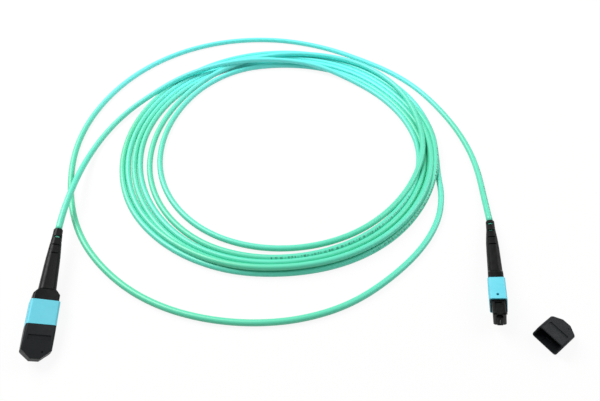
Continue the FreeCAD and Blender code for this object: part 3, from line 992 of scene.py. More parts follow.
housing_mesh = loft(
    [
        (0, body_outline),
        (COLLAR_START, body_outline),
        (COLLAR_START, collar_outline),
        (SLEEVE_L, collar_outline),
        (SLEEVE_L, body_outline),
        (HOUSING_L - 0.5, body_outline),
        (HOUSING_L, nose_outline),
    ]
)
key = brick(
    (KEY_START, -KEY_W / 2, HOUSING_T / 2 - 0.3),
    (KEY_END, KEY_W / 2, HOUSING_T / 2 + KEY_HEIGHT),
)
housing_mesh = carve(
    join(housing_mesh, key),
    bar(-1, THROAT_END, THROAT_W, THROAT_T, 0.1, 2),
    bar(OPENING_START, HOUSING_L + 1, OPENING_W, OPENING_T, 0.1, 2),
    bar(-1, PLUG_END, THROAT_W, PLUG_T, 0.1, 2),
    *both_sides(lambda s: side_pocket(s, GROOVE_START, GROOVE_END, GROOVE_DEPTH, GROOVE_W)),
    *both_sides(lambda s: side_pocket(s, HOOK_START, HOOK_END, HOOK_DEPTH, HOOK_W)),
    *both_sides(lambda s: side_pocket(s, GUIDE_START, HOUSING_L + 1, GUIDE_DEPTH, GUIDE_W)),
    *both_sides(catch_window),
)
print("housing:", len(housing_mesh.polygons), "faces")

# %% [markdown]
# ## The rear body and its neck
# Behind the sleeve sits the flange, with bevelled shoulders that lead into the boot. A plug
# on its front snaps into the housing and carries the main spring, and the neck behind it is
# what the crimp ring closes on.

# %% Shape the rear body
NECK_END = -FLANGE_L - 4.8
NECK_R, NECK_BORE_R = 2.0, 1.2
# The flange's back is smaller all round, and slopes out to the full size in two steps.
rear_mesh = loft(
    [
        (-FLANGE_L, rounded(FLANGE_W - 3.5, FLANGE_T - 0.5, 1.0)),
        (-FLANGE_L + 0.3, rounded(FLANGE_W - 3.05, FLANGE_T, FLANGE_R)),
        (-FLANGE_L + 2.3, rounded(FLANGE_W, FLANGE_T, FLANGE_R)),
        (0, rounded(FLANGE_W, FLANGE_T, FLANGE_R)),
    ]
)
plug = bar(-0.5, 4.4, 7.2, 4.1, 0.15, 2)
catches = brick((2.1, -1.1, -2.45), (3.3, 1.1, 2.45))
neck = rod((NECK_END, 0, 0), (-FLANGE_L + 0.5, 0, 0), NECK_R)
neck_bore = rod((-FLANGE_L - 6, 0, 0), (-1, 0, 0), NECK_BORE_R)
ribbon_slot = brick((-FLANGE_L / 2, -2.0, -1.0), (5.4, 2.0, 1.0))
rear_mesh = carve(join(rear_mesh, plug, catches, neck), neck_bore, ribbon_slot)
print("rear body:", len(rear_mesh.polygons), "faces")

# %% [markdown]
# ## The ferrule
# The MT ferrule is the precision part: a block of filled resin with two guide-pin holes and
# twelve fibres between them. Its window is where the glue goes in, and the recess in its
# rear takes the small rubber boot.

# %% Shape the ferrule
FACE_X = HOUSING_L + 1.0
REAR_X = FACE_X - 8.0
FERRULE_W, FERRULE_T = 6.4, 2.5
SHOULDER_W, SHOULDER_T, SHOULDER_L = 7.1, 3.1, 2.0
PIN_Y, PIN_HOLE_R = 2.3, 0.35
shoulder_outline = rounded(SHOULDER_W, SHOULDER_T, 0.25, 4)
ferrule_outline = rounded(FERRULE_W, FERRULE_T, 0.2, 4)


def guide_pin_hole(side):
    return rod((REAR_X - 1, side * PIN_Y, 0), (FACE_X + 1, side * PIN_Y, 0), PIN_HOLE_R)


ferrule_mesh = loft(
    [
        (REAR_X, shoulder_outline),
        (REAR_X + SHOULDER_L, shoulder_outline),
        (REAR_X + SHOULDER_L, ferrule_outline),
        (FACE_X - 0.15, ferrule_outline),
        (FACE_X, rounded(6.2, 2.3, 0.12, 4)),
    ]
)
boot_recess = bar(REAR_X - 1, REAR_X + 1.2, 3.6, 1.4, 0.1, 2)
glue_window = brick((REAR_X + 3.0, -1.5, 0), (REAR_X + 5.0, 1.5, 2.5))
ferrule_mesh = carve(ferrule_mesh, *both_sides(guide_pin_hole), boot_recess, glue_window)
print("ferrule:", len(ferrule_mesh.polygons), "faces")

# %% [markdown]
# ## The dust cap
# The cap slips over the housing's nose until it meets the sleeve. Its wide faces slope to a
# thinner toe whose corners are cut off, and a shallow recess in each wide face gives the
# thumbnail a hold. The mouth is flared inside, a keyway runs in from it, and each wide face
# has a pinhole near the toe.

# %% Name the cap's sizes and shape its cutters
CAP_L, CAP_STRAIGHT = 14.6, 4.4
TOE_T, TOE_W, TOE_L = 4.0, 4.0, 3.8
CAP_SLOPE = math.atan((SLEEVE_T - TOE_T) / 2 / (CAP_L - CAP_STRAIGHT))
RECESS_START, RECESS_END, RECESS_W, RECESS_DEPTH = 0.5, 2.6, 9.0, 0.44
MOUTH_W, MOUTH_T = 11.5, 6.8
HOLLOW_START, HOLLOW_END, HOLLOW_W, HOLLOW_T = 3.2, 7.35, 9.7, 5.7
KEYWAY_END, KEYWAY_W, KEYWAY_TOP = 4.0, 3.3, 3.3
PINHOLE_X, PINHOLE_Y, PINHOLE_R = CAP_L - 2.8, 2.3, 0.28


def toe_corner(side):
    """A wedge that takes one corner off the toe."""
    edge = side * SLEEVE_W / 2
    slope = Vector((CAP_L, side * TOE_W / 2)) - Vector((CAP_L - TOE_L, edge))
    near = Vector((CAP_L - TOE_L, edge)) - slope * 0.5
    far = Vector((CAP_L, side * TOE_W / 2)) + slope * 0.5
    mesh = bpy.data.meshes.new("wedge")
    corners = [near, far, Vector((CAP_L + 4, side * 12))]
    points = [(p.x, p.y, z) for z in (-6, 6) for p in corners]
    faces = [(0, 1, 2), (5, 4, 3), (0, 3, 4, 1), (1, 4, 5, 2), (2, 5, 3, 0)]
    mesh.from_pydata(points, [], faces)
    mend_normals(mesh)
    return mesh


def thumb_recess(side):
    """A shallow box let into one sloping face, its floor along the slope."""
    mesh = brick((RECESS_START, -RECESS_W / 2, -RECESS_DEPTH), (RECESS_END, RECESS_W / 2, 2.0))
    fold = Matrix.Translation((CAP_STRAIGHT, 0, SLEEVE_T / 2))
    mesh.transform(fold @ Matrix.Rotation(CAP_SLOPE, 4, "Y"))
    mesh.transform(Matrix.Rotation(math.pi if side < 0 else 0, 4, "X"))
    return mesh


def pinhole(side):
    outside = (PINHOLE_X, PINHOLE_Y, side * SLEEVE_T / 2)
    return rod(outside, (PINHOLE_X, PINHOLE_Y, side * 1.7), PINHOLE_R, 24)


print("cap's slope:", round(math.degrees(CAP_SLOPE), 1), "degrees")

# %% Shape the dust cap
cap_mesh = loft(
    [
        (0, rounded(SLEEVE_W, SLEEVE_T, SLEEVE_R, 10)),
        (CAP_STRAIGHT, rounded(SLEEVE_W, SLEEVE_T, SLEEVE_R, 10)),
        (CAP_L, rounded(SLEEVE_W, TOE_T, 0.9, 10)),
    ]
)
hollow = loft(
    [
        (-0.5, rounded(MOUTH_W, MOUTH_T, 0.9)),
        (HOLLOW_START, rounded(HOLLOW_W, HOLLOW_T, 0.55)),
        (HOLLOW_END, rounded(HOLLOW_W, HOLLOW_T, 0.55)),
    ]
)
cap_mesh = carve(
    cap_mesh,
    *both_sides(toe_corner),
    *both_sides(thumb_recess),
    hollow,
    bar(HOLLOW_END - 1.0, 9.05, 6.9, 3.1, 0.2, 3),
    brick((-1, -KEYWAY_W / 2, 0), (KEYWAY_END, KEYWAY_W / 2, KEYWAY_TOP)),
    *both_sides(pinhole),
)
print("dust cap:", len(cap_mesh.polygons), "faces")

# %% [markdown]
# ## Geometry Nodes for what repeats
# The slots of a boot, the turns of a spring and the fibres of a ribbon all repeat by a rule,
# which is what Geometry Nodes are for. Each tree has named inputs for its sizes, so the same
# tree makes every spring. Three helpers run a tree: one starts it with its inputs, one ends
# it, and one gives its result as a plain mesh and takes the modifier away.


# %% Start a tree, end it and run it
def new_tree(name, inputs):
    """An empty tree with named inputs, and the outputs of its input node."""
    tree = bpy.data.node_groups.new(name, "GeometryNodeTree")
    for label, kind in {"Geometry": "Geometry", **inputs}.items():
        tree.interface.new_socket(label, in_out="INPUT", socket_type="NodeSocket" + kind)
    tree.interface.new_socket("Geometry", in_out="OUTPUT", socket_type="NodeSocketGeometry")
    return tree, add(tree, "NodeGroupInput").outputs


def end_tree(tree, geometry, material_input):
    """Realizes the instances, sets the material and joins the tree's output."""
    real = add(tree, "GeometryNodeRealizeInstances", {"Geometry": geometry})
    dressed = add(
        tree,
        "GeometryNodeSetMaterial",
        {"Geometry": real, "Material": material_input},
    )
    add(tree, "NodeGroupOutput", {"Geometry": dressed})
    return tree


def grow(tree, mesh, **values):
    """The tree's result on a mesh, as a plain mesh. Underscores stand for spaces in names."""
    piece = add_piece("grow", mesh)
    change = piece.modifiers.new("grow", "NODES")
    change.node_group = tree
    named = {key.replace("_", " "): value for key, value in values.items()}
    for item in tree.interface.items_tree:
        if item.in_out == "INPUT" and item.name in named:
            change[item.identifier] = named.pop(item.name)
    if named:
        raise ValueError("no such inputs: %s" % sorted(named))
    bpy.context.view_layer.update()
    graph = bpy.context.evaluated_depsgraph_get()
    result = bpy.data.meshes.new_from_object(piece.evaluated_get(graph))
    bpy.data.objects.remove(piece)
    return result


print("helpers for Geometry Nodes are ready")

# %% [markdown]
# ## The strain-relief boot
# The boot is soft rubber that grips the crimp and lets the cable bend in a wide curve. It
# swells from a round tip to a flat root, and slots in its side walls and its wide faces, half
# a pitch apart, make its thin half bend like a chain. The skin is one loft through smoothly
# eased sections. A tree then sets one cutter per slot and takes them all away.

# %% Make the tree of slots
tree, given = new_tree(
    "boot_slots",
    {
        "Slot Length": "Float",
        "Slot Width": "Float",
        "Inner Reach": "Float",
        "Rise": "Float",
        "Pitch": "Float",
        "Side Start": "Float",
        "Side Count": "Int",
        "Face Start": "Float",
        "Face Count": "Int",
        "Material": "Material",
    },
)
# How far a cutter reaches out from the cable, in millimetres, so that it leaves the boot.
REACH = 6.0
cutter_middle = add(tree, "ShaderNodeMath", {0: given["Inner Reach"], 1: REACH / 2})
cutters = add(tree, "GeometryNodeJoinGeometry")
for row, outward, across in (("Side", "Y", "Z"), ("Face", "Z", "Y")):
    first = add(
        tree,
        "ShaderNodeCombineXYZ",
        {"X": given[row + " Start"], outward: cutter_middle},
    )
    step = add(tree, "ShaderNodeCombineXYZ", {"X": given["Pitch"], outward: given["Rise"]})
    line_up = add(
        tree,
        "GeometryNodeMeshLine",
        {"Count": given[row + " Count"], "Start Location": first, "Offset": step},
    )
    size = add(
        tree,
        "ShaderNodeCombineXYZ",
        {"X": given["Slot Length"], outward: REACH, across: given["Slot Width"]},
    )
    cube = add(tree, "GeometryNodeMeshCube", {"Size": size})
    one_side = add(
        tree,
        "GeometryNodeInstanceOnPoints",
        {"Points": line_up, "Instance": cube},
    )
    half_turn = {"Geometry": one_side, "Rotation": (math.pi, 0, 0)}
    other_side = add(tree, "GeometryNodeTransform", half_turn)
    for geometry in (one_side, other_side):
        tree.links.new(geometry.outputs[0], cutters.inputs[0])
real_cutters = add(tree, "GeometryNodeRealizeInstances", {"Geometry": cutters})
cut = add(
    tree,
    "GeometryNodeMeshBoolean",
    {"Mesh 1": given["Geometry"], "Mesh 2": real_cutters, "Self Intersection": True},
    operation="DIFFERENCE",
    solver="EXACT",
)
slots_tree = end_tree(tree, cut, given["Material"])
print("slot tree:", len(slots_tree.nodes), "nodes")

# %% Shape the boot's skin
BOOT_L = 33.5
# From the tip: distance, width, thickness and the share of the thickness that is rounded.
BOOT_SHAPE = [
    (0.0, 3.7, 3.7, 0.46),
    (0.25, 4.2, 4.2, 0.46),
    (1.6, 4.3, 4.25, 0.45),
    (5.5, 4.7, 4.4, 0.42),
    (11.5, 5.6, 5.4, 0.4),
    (17.5, 6.4, 6.0, 0.38),
    (25.0, 7.0, 6.4, 0.36),
    (BOOT_L, 7.6, 6.7, 0.34),
]
# The seat for the crimp ring inside the boot: its radius and where it starts.
SEAT_R, SEAT_START = 2.75, -14.9


def eased(shape, at):
    """The sizes at a distance, on smooth curves through the rows of a shape table."""
    for k in range(len(shape) - 1):
        if at <= shape[k + 1][0]:
            break
    rows = [shape[min(max(j, 0), len(shape) - 1)] for j in (k - 1, k, k + 1, k + 2)]
    start, end = rows[1][0], rows[2][0]
    t = (at - start) / (end - start)
    sizes = []
    for column in range(1, len(shape[0])):
        a, b, c, d = [row[column] for row in rows]
        rise = (c - a) / max(rows[2][0] - rows[0][0], 0.01) * (end - start)
        fall = (d - b) / max(rows[3][0] - rows[1][0], 0.01) * (end - start)
        smooth = (2 * t**3 - 3 * t**2 + 1) * b + (t**3 - 2 * t**2 + t) * rise
        sizes.append(smooth + (3 * t**2 - 2 * t**3) * c + (t**3 - t**2) * fall)
    return sizes


stations = [0.0, 0.1, 0.25, 0.8, 1.6] + [2.4 + 0.82 * k for k in range(38)] + [BOOT_L]
boot_sections = []
for distance in stations:
    width, thick, share = eased(BOOT_SHAPE, distance)
    boot_sections.append((BOOT_TIP + distance, rounded(width, thick, share * thick)))
boot_mesh = carve(
    loft(boot_sections),
    rod((BOOT_TIP - 1, 0, 0), (-14, 0, 0), CABLE_R + 0.05, 40),
    rod((SEAT_START, 0, 0), (-4, 0, 0), SEAT_R, 40),
)
print("boot:", len(boot_mesh.polygons), "faces before its slots")

# %% Cut the boot's slots
SLOT_PITCH = 4.8
# The slots nearest the tip are long and go through to the cable's hole.
boot_mesh = grow(
    slots_tree,
    boot_mesh,
    Slot_Length=0.95,
    Slot_Width=3.0,
    Inner_Reach=1.2,
    Rise=0.0,
    Pitch=SLOT_PITCH,
    Side_Start=BOOT_TIP + 2.55,
    Side_Count=2,
    Face_Start=BOOT_TIP + 4.95,
    Face_Count=1,
    Material=tpe_black,
)
# The rest are thin and blind, and rise with the boot's swelling skin. Their black rubber
# floors stand in for shade: on the real boot these slots go through to the cable, which lies
# in shade behind them.
boot_mesh = grow(
    slots_tree,
    boot_mesh,
    Slot_Length=0.6,
    Slot_Width=3.5,
    Inner_Reach=1.9,
    Rise=0.42,
    Pitch=SLOT_PITCH,
    Side_Start=BOOT_TIP + 2.55 + 2 * SLOT_PITCH,
    Side_Count=2,
    Face_Start=BOOT_TIP + 4.95 + SLOT_PITCH,
    Face_Count=2,
    Material=tpe_black,
)
print("boot:", len(boot_mesh.polygons), "faces")

# %% [markdown]
# ## Springs
# Three springs hide in each connector: a flat oval one that pushes the ferrule forward, and
# two thin ones that push the sleeve forward. A coil is a spiral whose turns close up at both
# ends, where it sits on its neighbours. The tree squeezes a round spiral to an oval before it
# gives it its wire, so the wire stays round.

# %% Make the tree of a spring
tree, given = new_tree(
    "coil_spring",
    {
        "Width": "Float",
        "Thickness": "Float",
        "Length": "Float",
        "Turns": "Float",
        "Wire": "Float",
        "Material": "Material",
    },
)
spiral = add(
    tree,
    "GeometryNodeCurveSpiral",
    {
        "Resolution": 28,
        "Rotations": given["Turns"],
        "Start Radius": 0.5,
        "End Radius": 0.5,
        "Height": 1.0,
    },
)
place = add(tree, "GeometryNodeInputPosition")
at = add(tree, "ShaderNodeSeparateXYZ", {"Vector": place}).outputs
# Half the rise is even and half is eased, which closes the turns up at both ends.
closing = add(
    tree,
    "ShaderNodeMapRange",
    {"Value": at["Z"]},
    interpolation_type="SMOOTHSTEP",
)
both = add(tree, "ShaderNodeMath", {0: at["Z"], 1: closing}, operation="ADD")
half_way = add(tree, "ShaderNodeMath", {0: both, 1: 0.5}, operation="MULTIPLY")
half_wire = add(tree, "ShaderNodeMath", {0: given["Wire"], 1: 0.5}, operation="MULTIPLY")
inside = {
    size: add(tree, "ShaderNodeMath", {0: given[size], 1: given["Wire"]}, operation="SUBTRACT")
    for size in ("Length", "Width", "Thickness")
}
rise = add(tree, "ShaderNodeMath", {0: half_way, 1: inside["Length"]}, operation="MULTIPLY")
coil_x = add(tree, "ShaderNodeMath", {0: rise, 1: half_wire}, operation="ADD")
coil_y = add(tree, "ShaderNodeMath", {0: at["X"], 1: inside["Width"]}, operation="MULTIPLY")
coil_z = add(tree, "ShaderNodeMath", {0: at["Y"], 1: inside["Thickness"]}, operation="MULTIPLY")
coil_at = add(tree, "ShaderNodeCombineXYZ", {"X": coil_x, "Y": coil_y, "Z": coil_z})
laid = add(tree, "GeometryNodeSetPosition", {"Geometry": spiral, "Position": coil_at})
wire_ring = {"Resolution": 10, "Radius": half_wire}
wire_circle = add(tree, "GeometryNodeCurvePrimitiveCircle", wire_ring)
wire = add(
    tree,
    "GeometryNodeCurveToMesh",
    {"Curve": laid, "Profile Curve": wire_circle, "Fill Caps": True},
)
spring_tree = end_tree(tree, wire, given["Material"])
print("spring tree:", len(spring_tree.nodes), "nodes")


# %% Wind the springs
def spring(start, y, **sizes):
    """A coil spring along X from a start, in millimetres."""
    mesh = grow(spring_tree, bpy.data.meshes.new("empty"), Material=spring_steel, **sizes)
    mesh.transform(Matrix.Translation((start, y, 0)))
    mend_normals(mesh)
    return mesh


# Where each spring starts, how long it is, and how far to the side the thin ones lie.
MAIN_SPRING_X, MAIN_SPRING_L = 4.45, 5.5
SIDE_SPRING_X, SIDE_SPRING_L, SIDE_SPRING_Y = 1.65, 6.6, 4.65
main_spring_mesh = spring(
    MAIN_SPRING_X,
    0,
    Width=6.9,
    Thickness=3.05,
    Length=MAIN_SPRING_L,
    Turns=6.0,
    Wire=0.42,
)
side_spring_meshes = [
    spring(
        SIDE_SPRING_X,
        side * SIDE_SPRING_Y,
        Width=1.2,
        Thickness=1.2,
        Length=SIDE_SPRING_L,
        Turns=12.0,
        Wire=0.2,
    )
    for side in (-1, 1)
]
print("main spring:", len(main_spring_mesh.polygons), "faces")

# %% [markdown]
# ## The fibre ribbon and its polished ends
# Twelve dyed strands lie side by side. In the neck they crowd together, and before the
# ferrule they fan out to a flat ribbon at a quarter of a millimetre's pitch. The same tree
# sets twelve straight pieces of bare glass at the ferrule's face, where they are polished.

# %% Start the tree of strands with a row of lines
tree, given = new_tree(
    "fibre_strands",
    {
        "Count": "Int",
        "Pitch": "Float",
        "Diameter": "Float",
        "Start": "Float",
        "End": "Float",
        "Fan Start": "Float",
        "Fan End": "Float",
        "Crowding": "Float",
        "Material": "Material",
    },
)
pitch_step = add(tree, "ShaderNodeCombineXYZ", {"Y": given["Pitch"]})
gaps = add(tree, "ShaderNodeMath", {0: given["Count"], 1: 1.0}, operation="SUBTRACT")
row_width = add(tree, "ShaderNodeMath", {0: gaps, 1: given["Pitch"]}, operation="MULTIPLY")
first_y = add(tree, "ShaderNodeMath", {0: row_width, 1: -0.5}, operation="MULTIPLY")
first_at = add(tree, "ShaderNodeCombineXYZ", {"Y": first_y})
row = add(
    tree,
    "GeometryNodeMeshLine",
    {"Count": given["Count"], "Start Location": first_at, "Offset": pitch_step},
)
start_at = add(tree, "ShaderNodeCombineXYZ", {"X": given["Start"]})
end_at = add(tree, "ShaderNodeCombineXYZ", {"X": given["End"]})
one = add(tree, "GeometryNodeCurvePrimitiveLine", {"Start": start_at, "End": end_at})
points_along = add(tree, "GeometryNodeResampleCurve", {"Curve": one, "Count": 24})
row_of_lines = add(
    tree,
    "GeometryNodeInstanceOnPoints",
    {"Points": row, "Instance": points_along},
)
strand_number = add(tree, "GeometryNodeInputIndex")
numbered = add(
    tree,
    "GeometryNodeStoreNamedAttribute",
    {"Geometry": row_of_lines, "Name": "fibre", "Value": strand_number},
    data_type="FLOAT",
    domain="INSTANCE",
)
real_lines = add(tree, "GeometryNodeRealizeInstances", {"Geometry": numbered})
print("strand tree:", len(tree.nodes), "nodes for the row")

# %% Fan the strands out and give them their thickness
place = add(tree, "GeometryNodeInputPosition")
at = add(tree, "ShaderNodeSeparateXYZ", {"Vector": place}).outputs
spread = add(
    tree,
    "ShaderNodeMapRange",
    {
        "Value": at["X"],
        "From Min": given["Fan Start"],
        "From Max": given["Fan End"],
        "To Min": given["Crowding"],
        "To Max": 1.0,
    },
    interpolation_type="SMOOTHSTEP",
)
fanned_y = add(tree, "ShaderNodeMath", {0: at["Y"], 1: spread}, operation="MULTIPLY")
fanned = add(tree, "ShaderNodeCombineXYZ", {"X": at["X"], "Y": fanned_y, "Z": at["Z"]})
laid = add(tree, "GeometryNodeSetPosition", {"Geometry": real_lines, "Position": fanned})
strand_r = add(tree, "ShaderNodeMath", {0: given["Diameter"], 1: 0.5}, operation="MULTIPLY")
strand_ring = {"Resolution": 10, "Radius": strand_r}
strand_circle = add(tree, "GeometryNodeCurvePrimitiveCircle", strand_ring)
strands = add(
    tree,
    "GeometryNodeCurveToMesh",
    {"Curve": laid, "Profile Curve": strand_circle, "Fill Caps": True},
)
strand_tree = end_tree(tree, strands, given["Material"])
print("strand tree:", len(strand_tree.nodes), "nodes")

# %% Lay the ribbon and the glass ends
FIBRE_PITCH = 0.25
RIBBON_START, RIBBON_END = -8.8, 12.7


def strands_mesh(**sizes):
    empty = bpy.data.meshes.new("empty")
    mesh = grow(strand_tree, empty, Count=FIBRES, Pitch=FIBRE_PITCH, **sizes)
    mend_normals(mesh)
    return mesh


ribbon_mesh = strands_mesh(
    Diameter=0.24,
    Start=RIBBON_START,
    End=RIBBON_END,
    Fan_Start=-4.0,
    Fan_End=1.0,
    Crowding=0.66,
    Material=acrylate,
)
glass_mesh = strands_mesh(
    Diameter=0.125,
    Start=FACE_X - 0.3,
    End=FACE_X + 0.01,
    Fan_Start=0.0,
    Fan_End=1.0,
    Crowding=1.0,
    Material=silica,
)
print("ribbon:", len(ribbon_mesh.polygons), "faces;", "glass ends:", len(glass_mesh.polygons))

# %% [markdown]
# ## The hidden fittings
# Between cable and ferrule sit a stepped crimp ring, a stamped pin keeper and a small rubber
# boot. They are simple turned and stamped shapes, made by the same lofts and cuts.

# %% Shape the hidden fittings
CABLE_GRIP_R, RING_R, RING_END = 2.1, 2.65, -6.0
crimp_mesh = loft(
    [
        (NECK_END - 3.8, circle(CABLE_GRIP_R - 0.1)),
        (NECK_END - 3.7, circle(CABLE_GRIP_R)),
        (NECK_END - 0.75, circle(CABLE_GRIP_R)),
        (NECK_END - 0.6, circle(RING_R)),
        (RING_END - 0.1, circle(RING_R)),
        (RING_END, circle(2.58)),
    ]
)
crimp_mesh = carve(
    crimp_mesh,
    rod((NECK_END - 0.1, 0, 0), (-5, 0, 0), NECK_R + 0.05, 40),
    rod((NECK_END - 5, 0, 0), (NECK_END + 0.5, 0, 0), CABLE_R + 0.05, 40),
)
keeper_mesh = carve(
    bar(REAR_X - 1.8, REAR_X, 7.0, 3.0, 0.3, 4),
    bar(REAR_X - 3, REAR_X + 1, 3.6, 1.4, 0.2, 3),
)
small_boot_mesh = carve(
    bar(REAR_X - 2.4, REAR_X + 1.15, 3.5, 1.3, 0.4, 4),
    bar(REAR_X - 4, REAR_X + 2, 3.1, 0.35, 0.15, 3),
)
for mesh in (crimp_mesh, keeper_mesh, small_boot_mesh):
    print("hidden fitting:", len(mesh.polygons), "faces")

# %% [markdown]
# ## Put both connectors together
# Each mesh so far is in the connector's own millimetres. Both connectors are the same, so
# each mesh is laid out twice, by the two matrices that were read from the CAD at the start.
# Every piece says which body it rides on, so the sleeve and the ferrule slide as in the CAD.

# %% List a connector's pieces
# A piece's name, its CAD solid, its mesh, material, bevel and ride. A ride on "sleeve" or
# "ferrule" is on that side's own one.
PIECES = [
    ("coupling_sleeve_dressed", "coupling_sleeve", sleeve_mesh, pbt_aqua, 0.14, "sleeve"),
    ("housing_dressed", "housing", housing_mesh, pei_black, 0.1, "lead"),
    ("rear_body_dressed", "rear_body", rear_mesh, pei_black, 0.12, "lead"),
    ("boot_dressed", "boot", boot_mesh, tpe_black, 0.08, "lead"),
    ("mt_ferrule_dressed", "mt_ferrule", ferrule_mesh, pps_dark, 0.05, "ferrule"),
    ("pin_keeper_dressed", "pin_keeper", keeper_mesh, nickel, 0.08, "ferrule"),
    ("ferrule_boot_dressed", "ferrule_boot", small_boot_mesh, silicone_grey, 0.08, "ferrule"),
    ("crimp_ring_dressed", "crimp_ring", crimp_mesh, nickel, 0.06, "lead"),
    ("main_coil", "main_spring", main_spring_mesh, spring_steel, 0, "lead"),
    ("coupling_coil_a", "coupling_spring_a", side_spring_meshes[0], spring_steel, 0, "sleeve"),
    ("coupling_coil_b", "coupling_spring_b", side_spring_meshes[1], spring_steel, 0, "sleeve"),
    ("ribbon_strands", "fibre_ribbon", ribbon_mesh, acrylate, 0, "ferrule"),
    ("glass_ends", None, glass_mesh, silica, 0, "ferrule"),
]
print("pieces of a connector:", len(PIECES))

# %% List the springy pieces
# How far the sleeve and the ferrule can move back.
SLEEVE_TRAVEL = 2.2
FERRULE_TRAVEL = 0.8
# A springy piece, its joint, where its fixed end is, its length and how far it is pushed in.
FRONT_X = SIDE_SPRING_X + SIDE_SPRING_L
RIBBON_L = RIBBON_END - RIBBON_START
SPRINGY = [
    ("main_coil", "_ferrule_float", MAIN_SPRING_X, MAIN_SPRING_L, FERRULE_TRAVEL),
    ("coupling_coil_a", "_sleeve_pull", FRONT_X, SIDE_SPRING_L, SLEEVE_TRAVEL),
    ("coupling_coil_b", "_sleeve_pull", FRONT_X, SIDE_SPRING_L, SLEEVE_TRAVEL),
    ("ribbon_strands", "_ferrule_float", RIBBON_END, RIBBON_L, FERRULE_TRAVEL),
]
print("pieces that shorten:", len(SPRINGY), "in each connector")

# %% Lay out every piece of both connectors
INNER_CABLE_END = NECK_END - 0.15
INNER_CABLE_STEPS = 8


def shorten(piece, side, joint, fixed_x, whole, travel):
    """Gives a springy piece a mesh of its own."""
    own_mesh(piece)


for side, place in frames.items():
    made = {}
    for name, cad_node, mesh, material, bevel, ride in PIECES:
        body = ride if ride == "lead" else side + "_" + ride
        node = cad_node and side + "_" + cad_node
        made[name] = finish_piece(side + "_" + name, mesh, place, material, bevel, body, node)
    for name, *how in SPRINGY:
        shorten(made[name], side, *how)
    inside = [
        place @ Vector((BOOT_TIP + (INNER_CABLE_END - BOOT_TIP) * k / INNER_CABLE_STEPS, 0, 0))
        for k in range(INNER_CABLE_STEPS + 1)
    ]
    inner_cable = tube(side + "_cable_in_boot", inside, CABLE_R * MM)
    inner_cable.data.materials.append(lszh)
    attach(inner_cable, "lead")
    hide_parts(side + "_cable_end")
print("connectors:", len(frames), "with", len(PIECES) + 1, "pieces each")

# %% [markdown]
# ## The two caps
# One cap sits on the left connector, a hair in front of the sleeve. The other lies on the
# table on its sloping face, keyway down and mouth towards the room, and its CAD solid says
# exactly where.

# %% Fit one cap and lay the other down
CAP_BEVEL = 0.16
on_nose = frames["left"] @ Matrix.Translation((SLEEVE_L + 0.05, 0, 0))
finish_piece(
    "left_cap_dressed", cap_mesh, on_nose, abs_charcoal, CAP_BEVEL, "left_cap", "left_dust_cap"
)

CAP_YAW = 36.3
turned = Matrix.Rotation(math.radians(CAP_YAW), 4, "Z") @ Matrix.Rotation(CAP_SLOPE, 4, "Y")
turned = turned @ Matrix.Rotation(math.pi, 4, "X") @ Matrix.Scale(MM, 4)
corners = [turned @ v.co for v in cap_mesh.vertices]
low = Vector([min(c[k] for c in corners) for k in range(3)])
high = Vector([max(c[k] for c in corners) for k in range(3)])
shift = middle("right_dust_cap") - (low + high) / 2
shift.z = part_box("right_dust_cap")[0].z - low.z
on_table = Matrix.Translation(shift) @ turned
finish_piece(
    "loose_cap_dressed", cap_mesh, on_table, abs_charcoal, CAP_BEVEL, "lead", "right_dust_cap"
)
print("loose cap moved by", [round(c * 1000, 2) for c in shift], "mm")

# %% [markdown]
# ## Floor and light
# The lead lies on a plain white table top. To the camera and to mirror-like rays the table
# glows a little, so that it comes out white, while the rest of its colour is lit paint, so
# the cable's soft shadow stays on it. A wide lamp at either side, the left one stronger, and a
# pale surround give the light of a product shot.

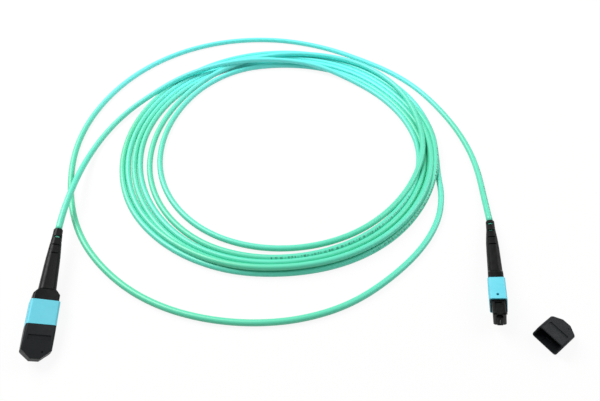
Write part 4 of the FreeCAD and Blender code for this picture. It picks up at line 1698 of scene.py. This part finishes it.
# %% Lay the floor
# How much of the floor's colour is glow, and how strong that is. A strength of 1 is white.
GLOW_SHARE, GLOW_STRENGTH = 0.88, 1.03
floor_mesh = bpy.data.meshes.new("floor")
floor_mesh.from_pydata([(-3, -3, 0), (3, -3, 0), (3, 3, 0), (-3, 3, 0)], [], [(0, 1, 2, 3)])
floor = add_piece("floor", floor_mesh)
paint, tree, shader = new_material("white_table_top", Roughness=0.8, Specular_IOR_Level=0.2)
shader.inputs["Base Color"].default_value = linear("#D2D2D0")
rays = add(tree, "ShaderNodeLightPath").outputs
seen = rays["Is Camera Ray"]
for ray in ("Is Glossy Ray", "Is Transmission Ray"):
    seen = add(tree, "ShaderNodeMath", {0: seen, 1: rays[ray]}, operation="MAXIMUM")
glow_share = add(tree, "ShaderNodeMath", {0: seen, 1: GLOW_SHARE}, operation="MULTIPLY")
glow = add(tree, "ShaderNodeEmission", {"Color": (1, 1, 1, 1), "Strength": GLOW_STRENGTH})
mix = add(tree, "ShaderNodeMixShader", {0: glow_share, 1: shader, 2: glow})
tree.links.new(mix.outputs[0], tree.nodes["Material Output"].inputs["Surface"])
floor_mesh.materials.append(paint)
print("floor:", paint.name)

# %% Set the light
# The surround's strength on the object. The camera sees it at 1, which is white.
SURROUND = 0.33
world = bpy.data.worlds.new("studio")
bpy.context.scene.world = world
world.use_nodes = True
tree = world.node_tree
sky = tree.nodes["Background"]
sky.inputs["Color"].default_value = (1, 1, 1, 1)
seen = add(tree, "ShaderNodeLightPath").outputs["Is Camera Ray"]
strength = {"Value": seen, "To Min": SURROUND, "To Max": 1.0}
bright = add(tree, "ShaderNodeMapRange", strength)
tree.links.new(bright.outputs[0], sky.inputs["Strength"])


def lamp(name, place, target, size, watts):
    light = bpy.data.objects.new(name, bpy.data.lights.new(name, "AREA"))
    light.data.shape = "SQUARE"
    light.data.size = size
    light.data.energy = watts
    light.location = place
    light.rotation_euler = (Vector(target) - Vector(place)).to_track_quat("-Z", "Y").to_euler()
    bpy.context.scene.collection.objects.link(light)


lamp("left_lamp", (-0.44, 0.38, 0.64), target=(-0.02, 0.08, 0), size=0.5, watts=7.2)
lamp("right_lamp", (0.52, 0.26, 0.5), target=(0.02, 0.08, 0), size=0.5, watts=2.4)
bpy.context.scene.view_settings.view_transform = "Standard"
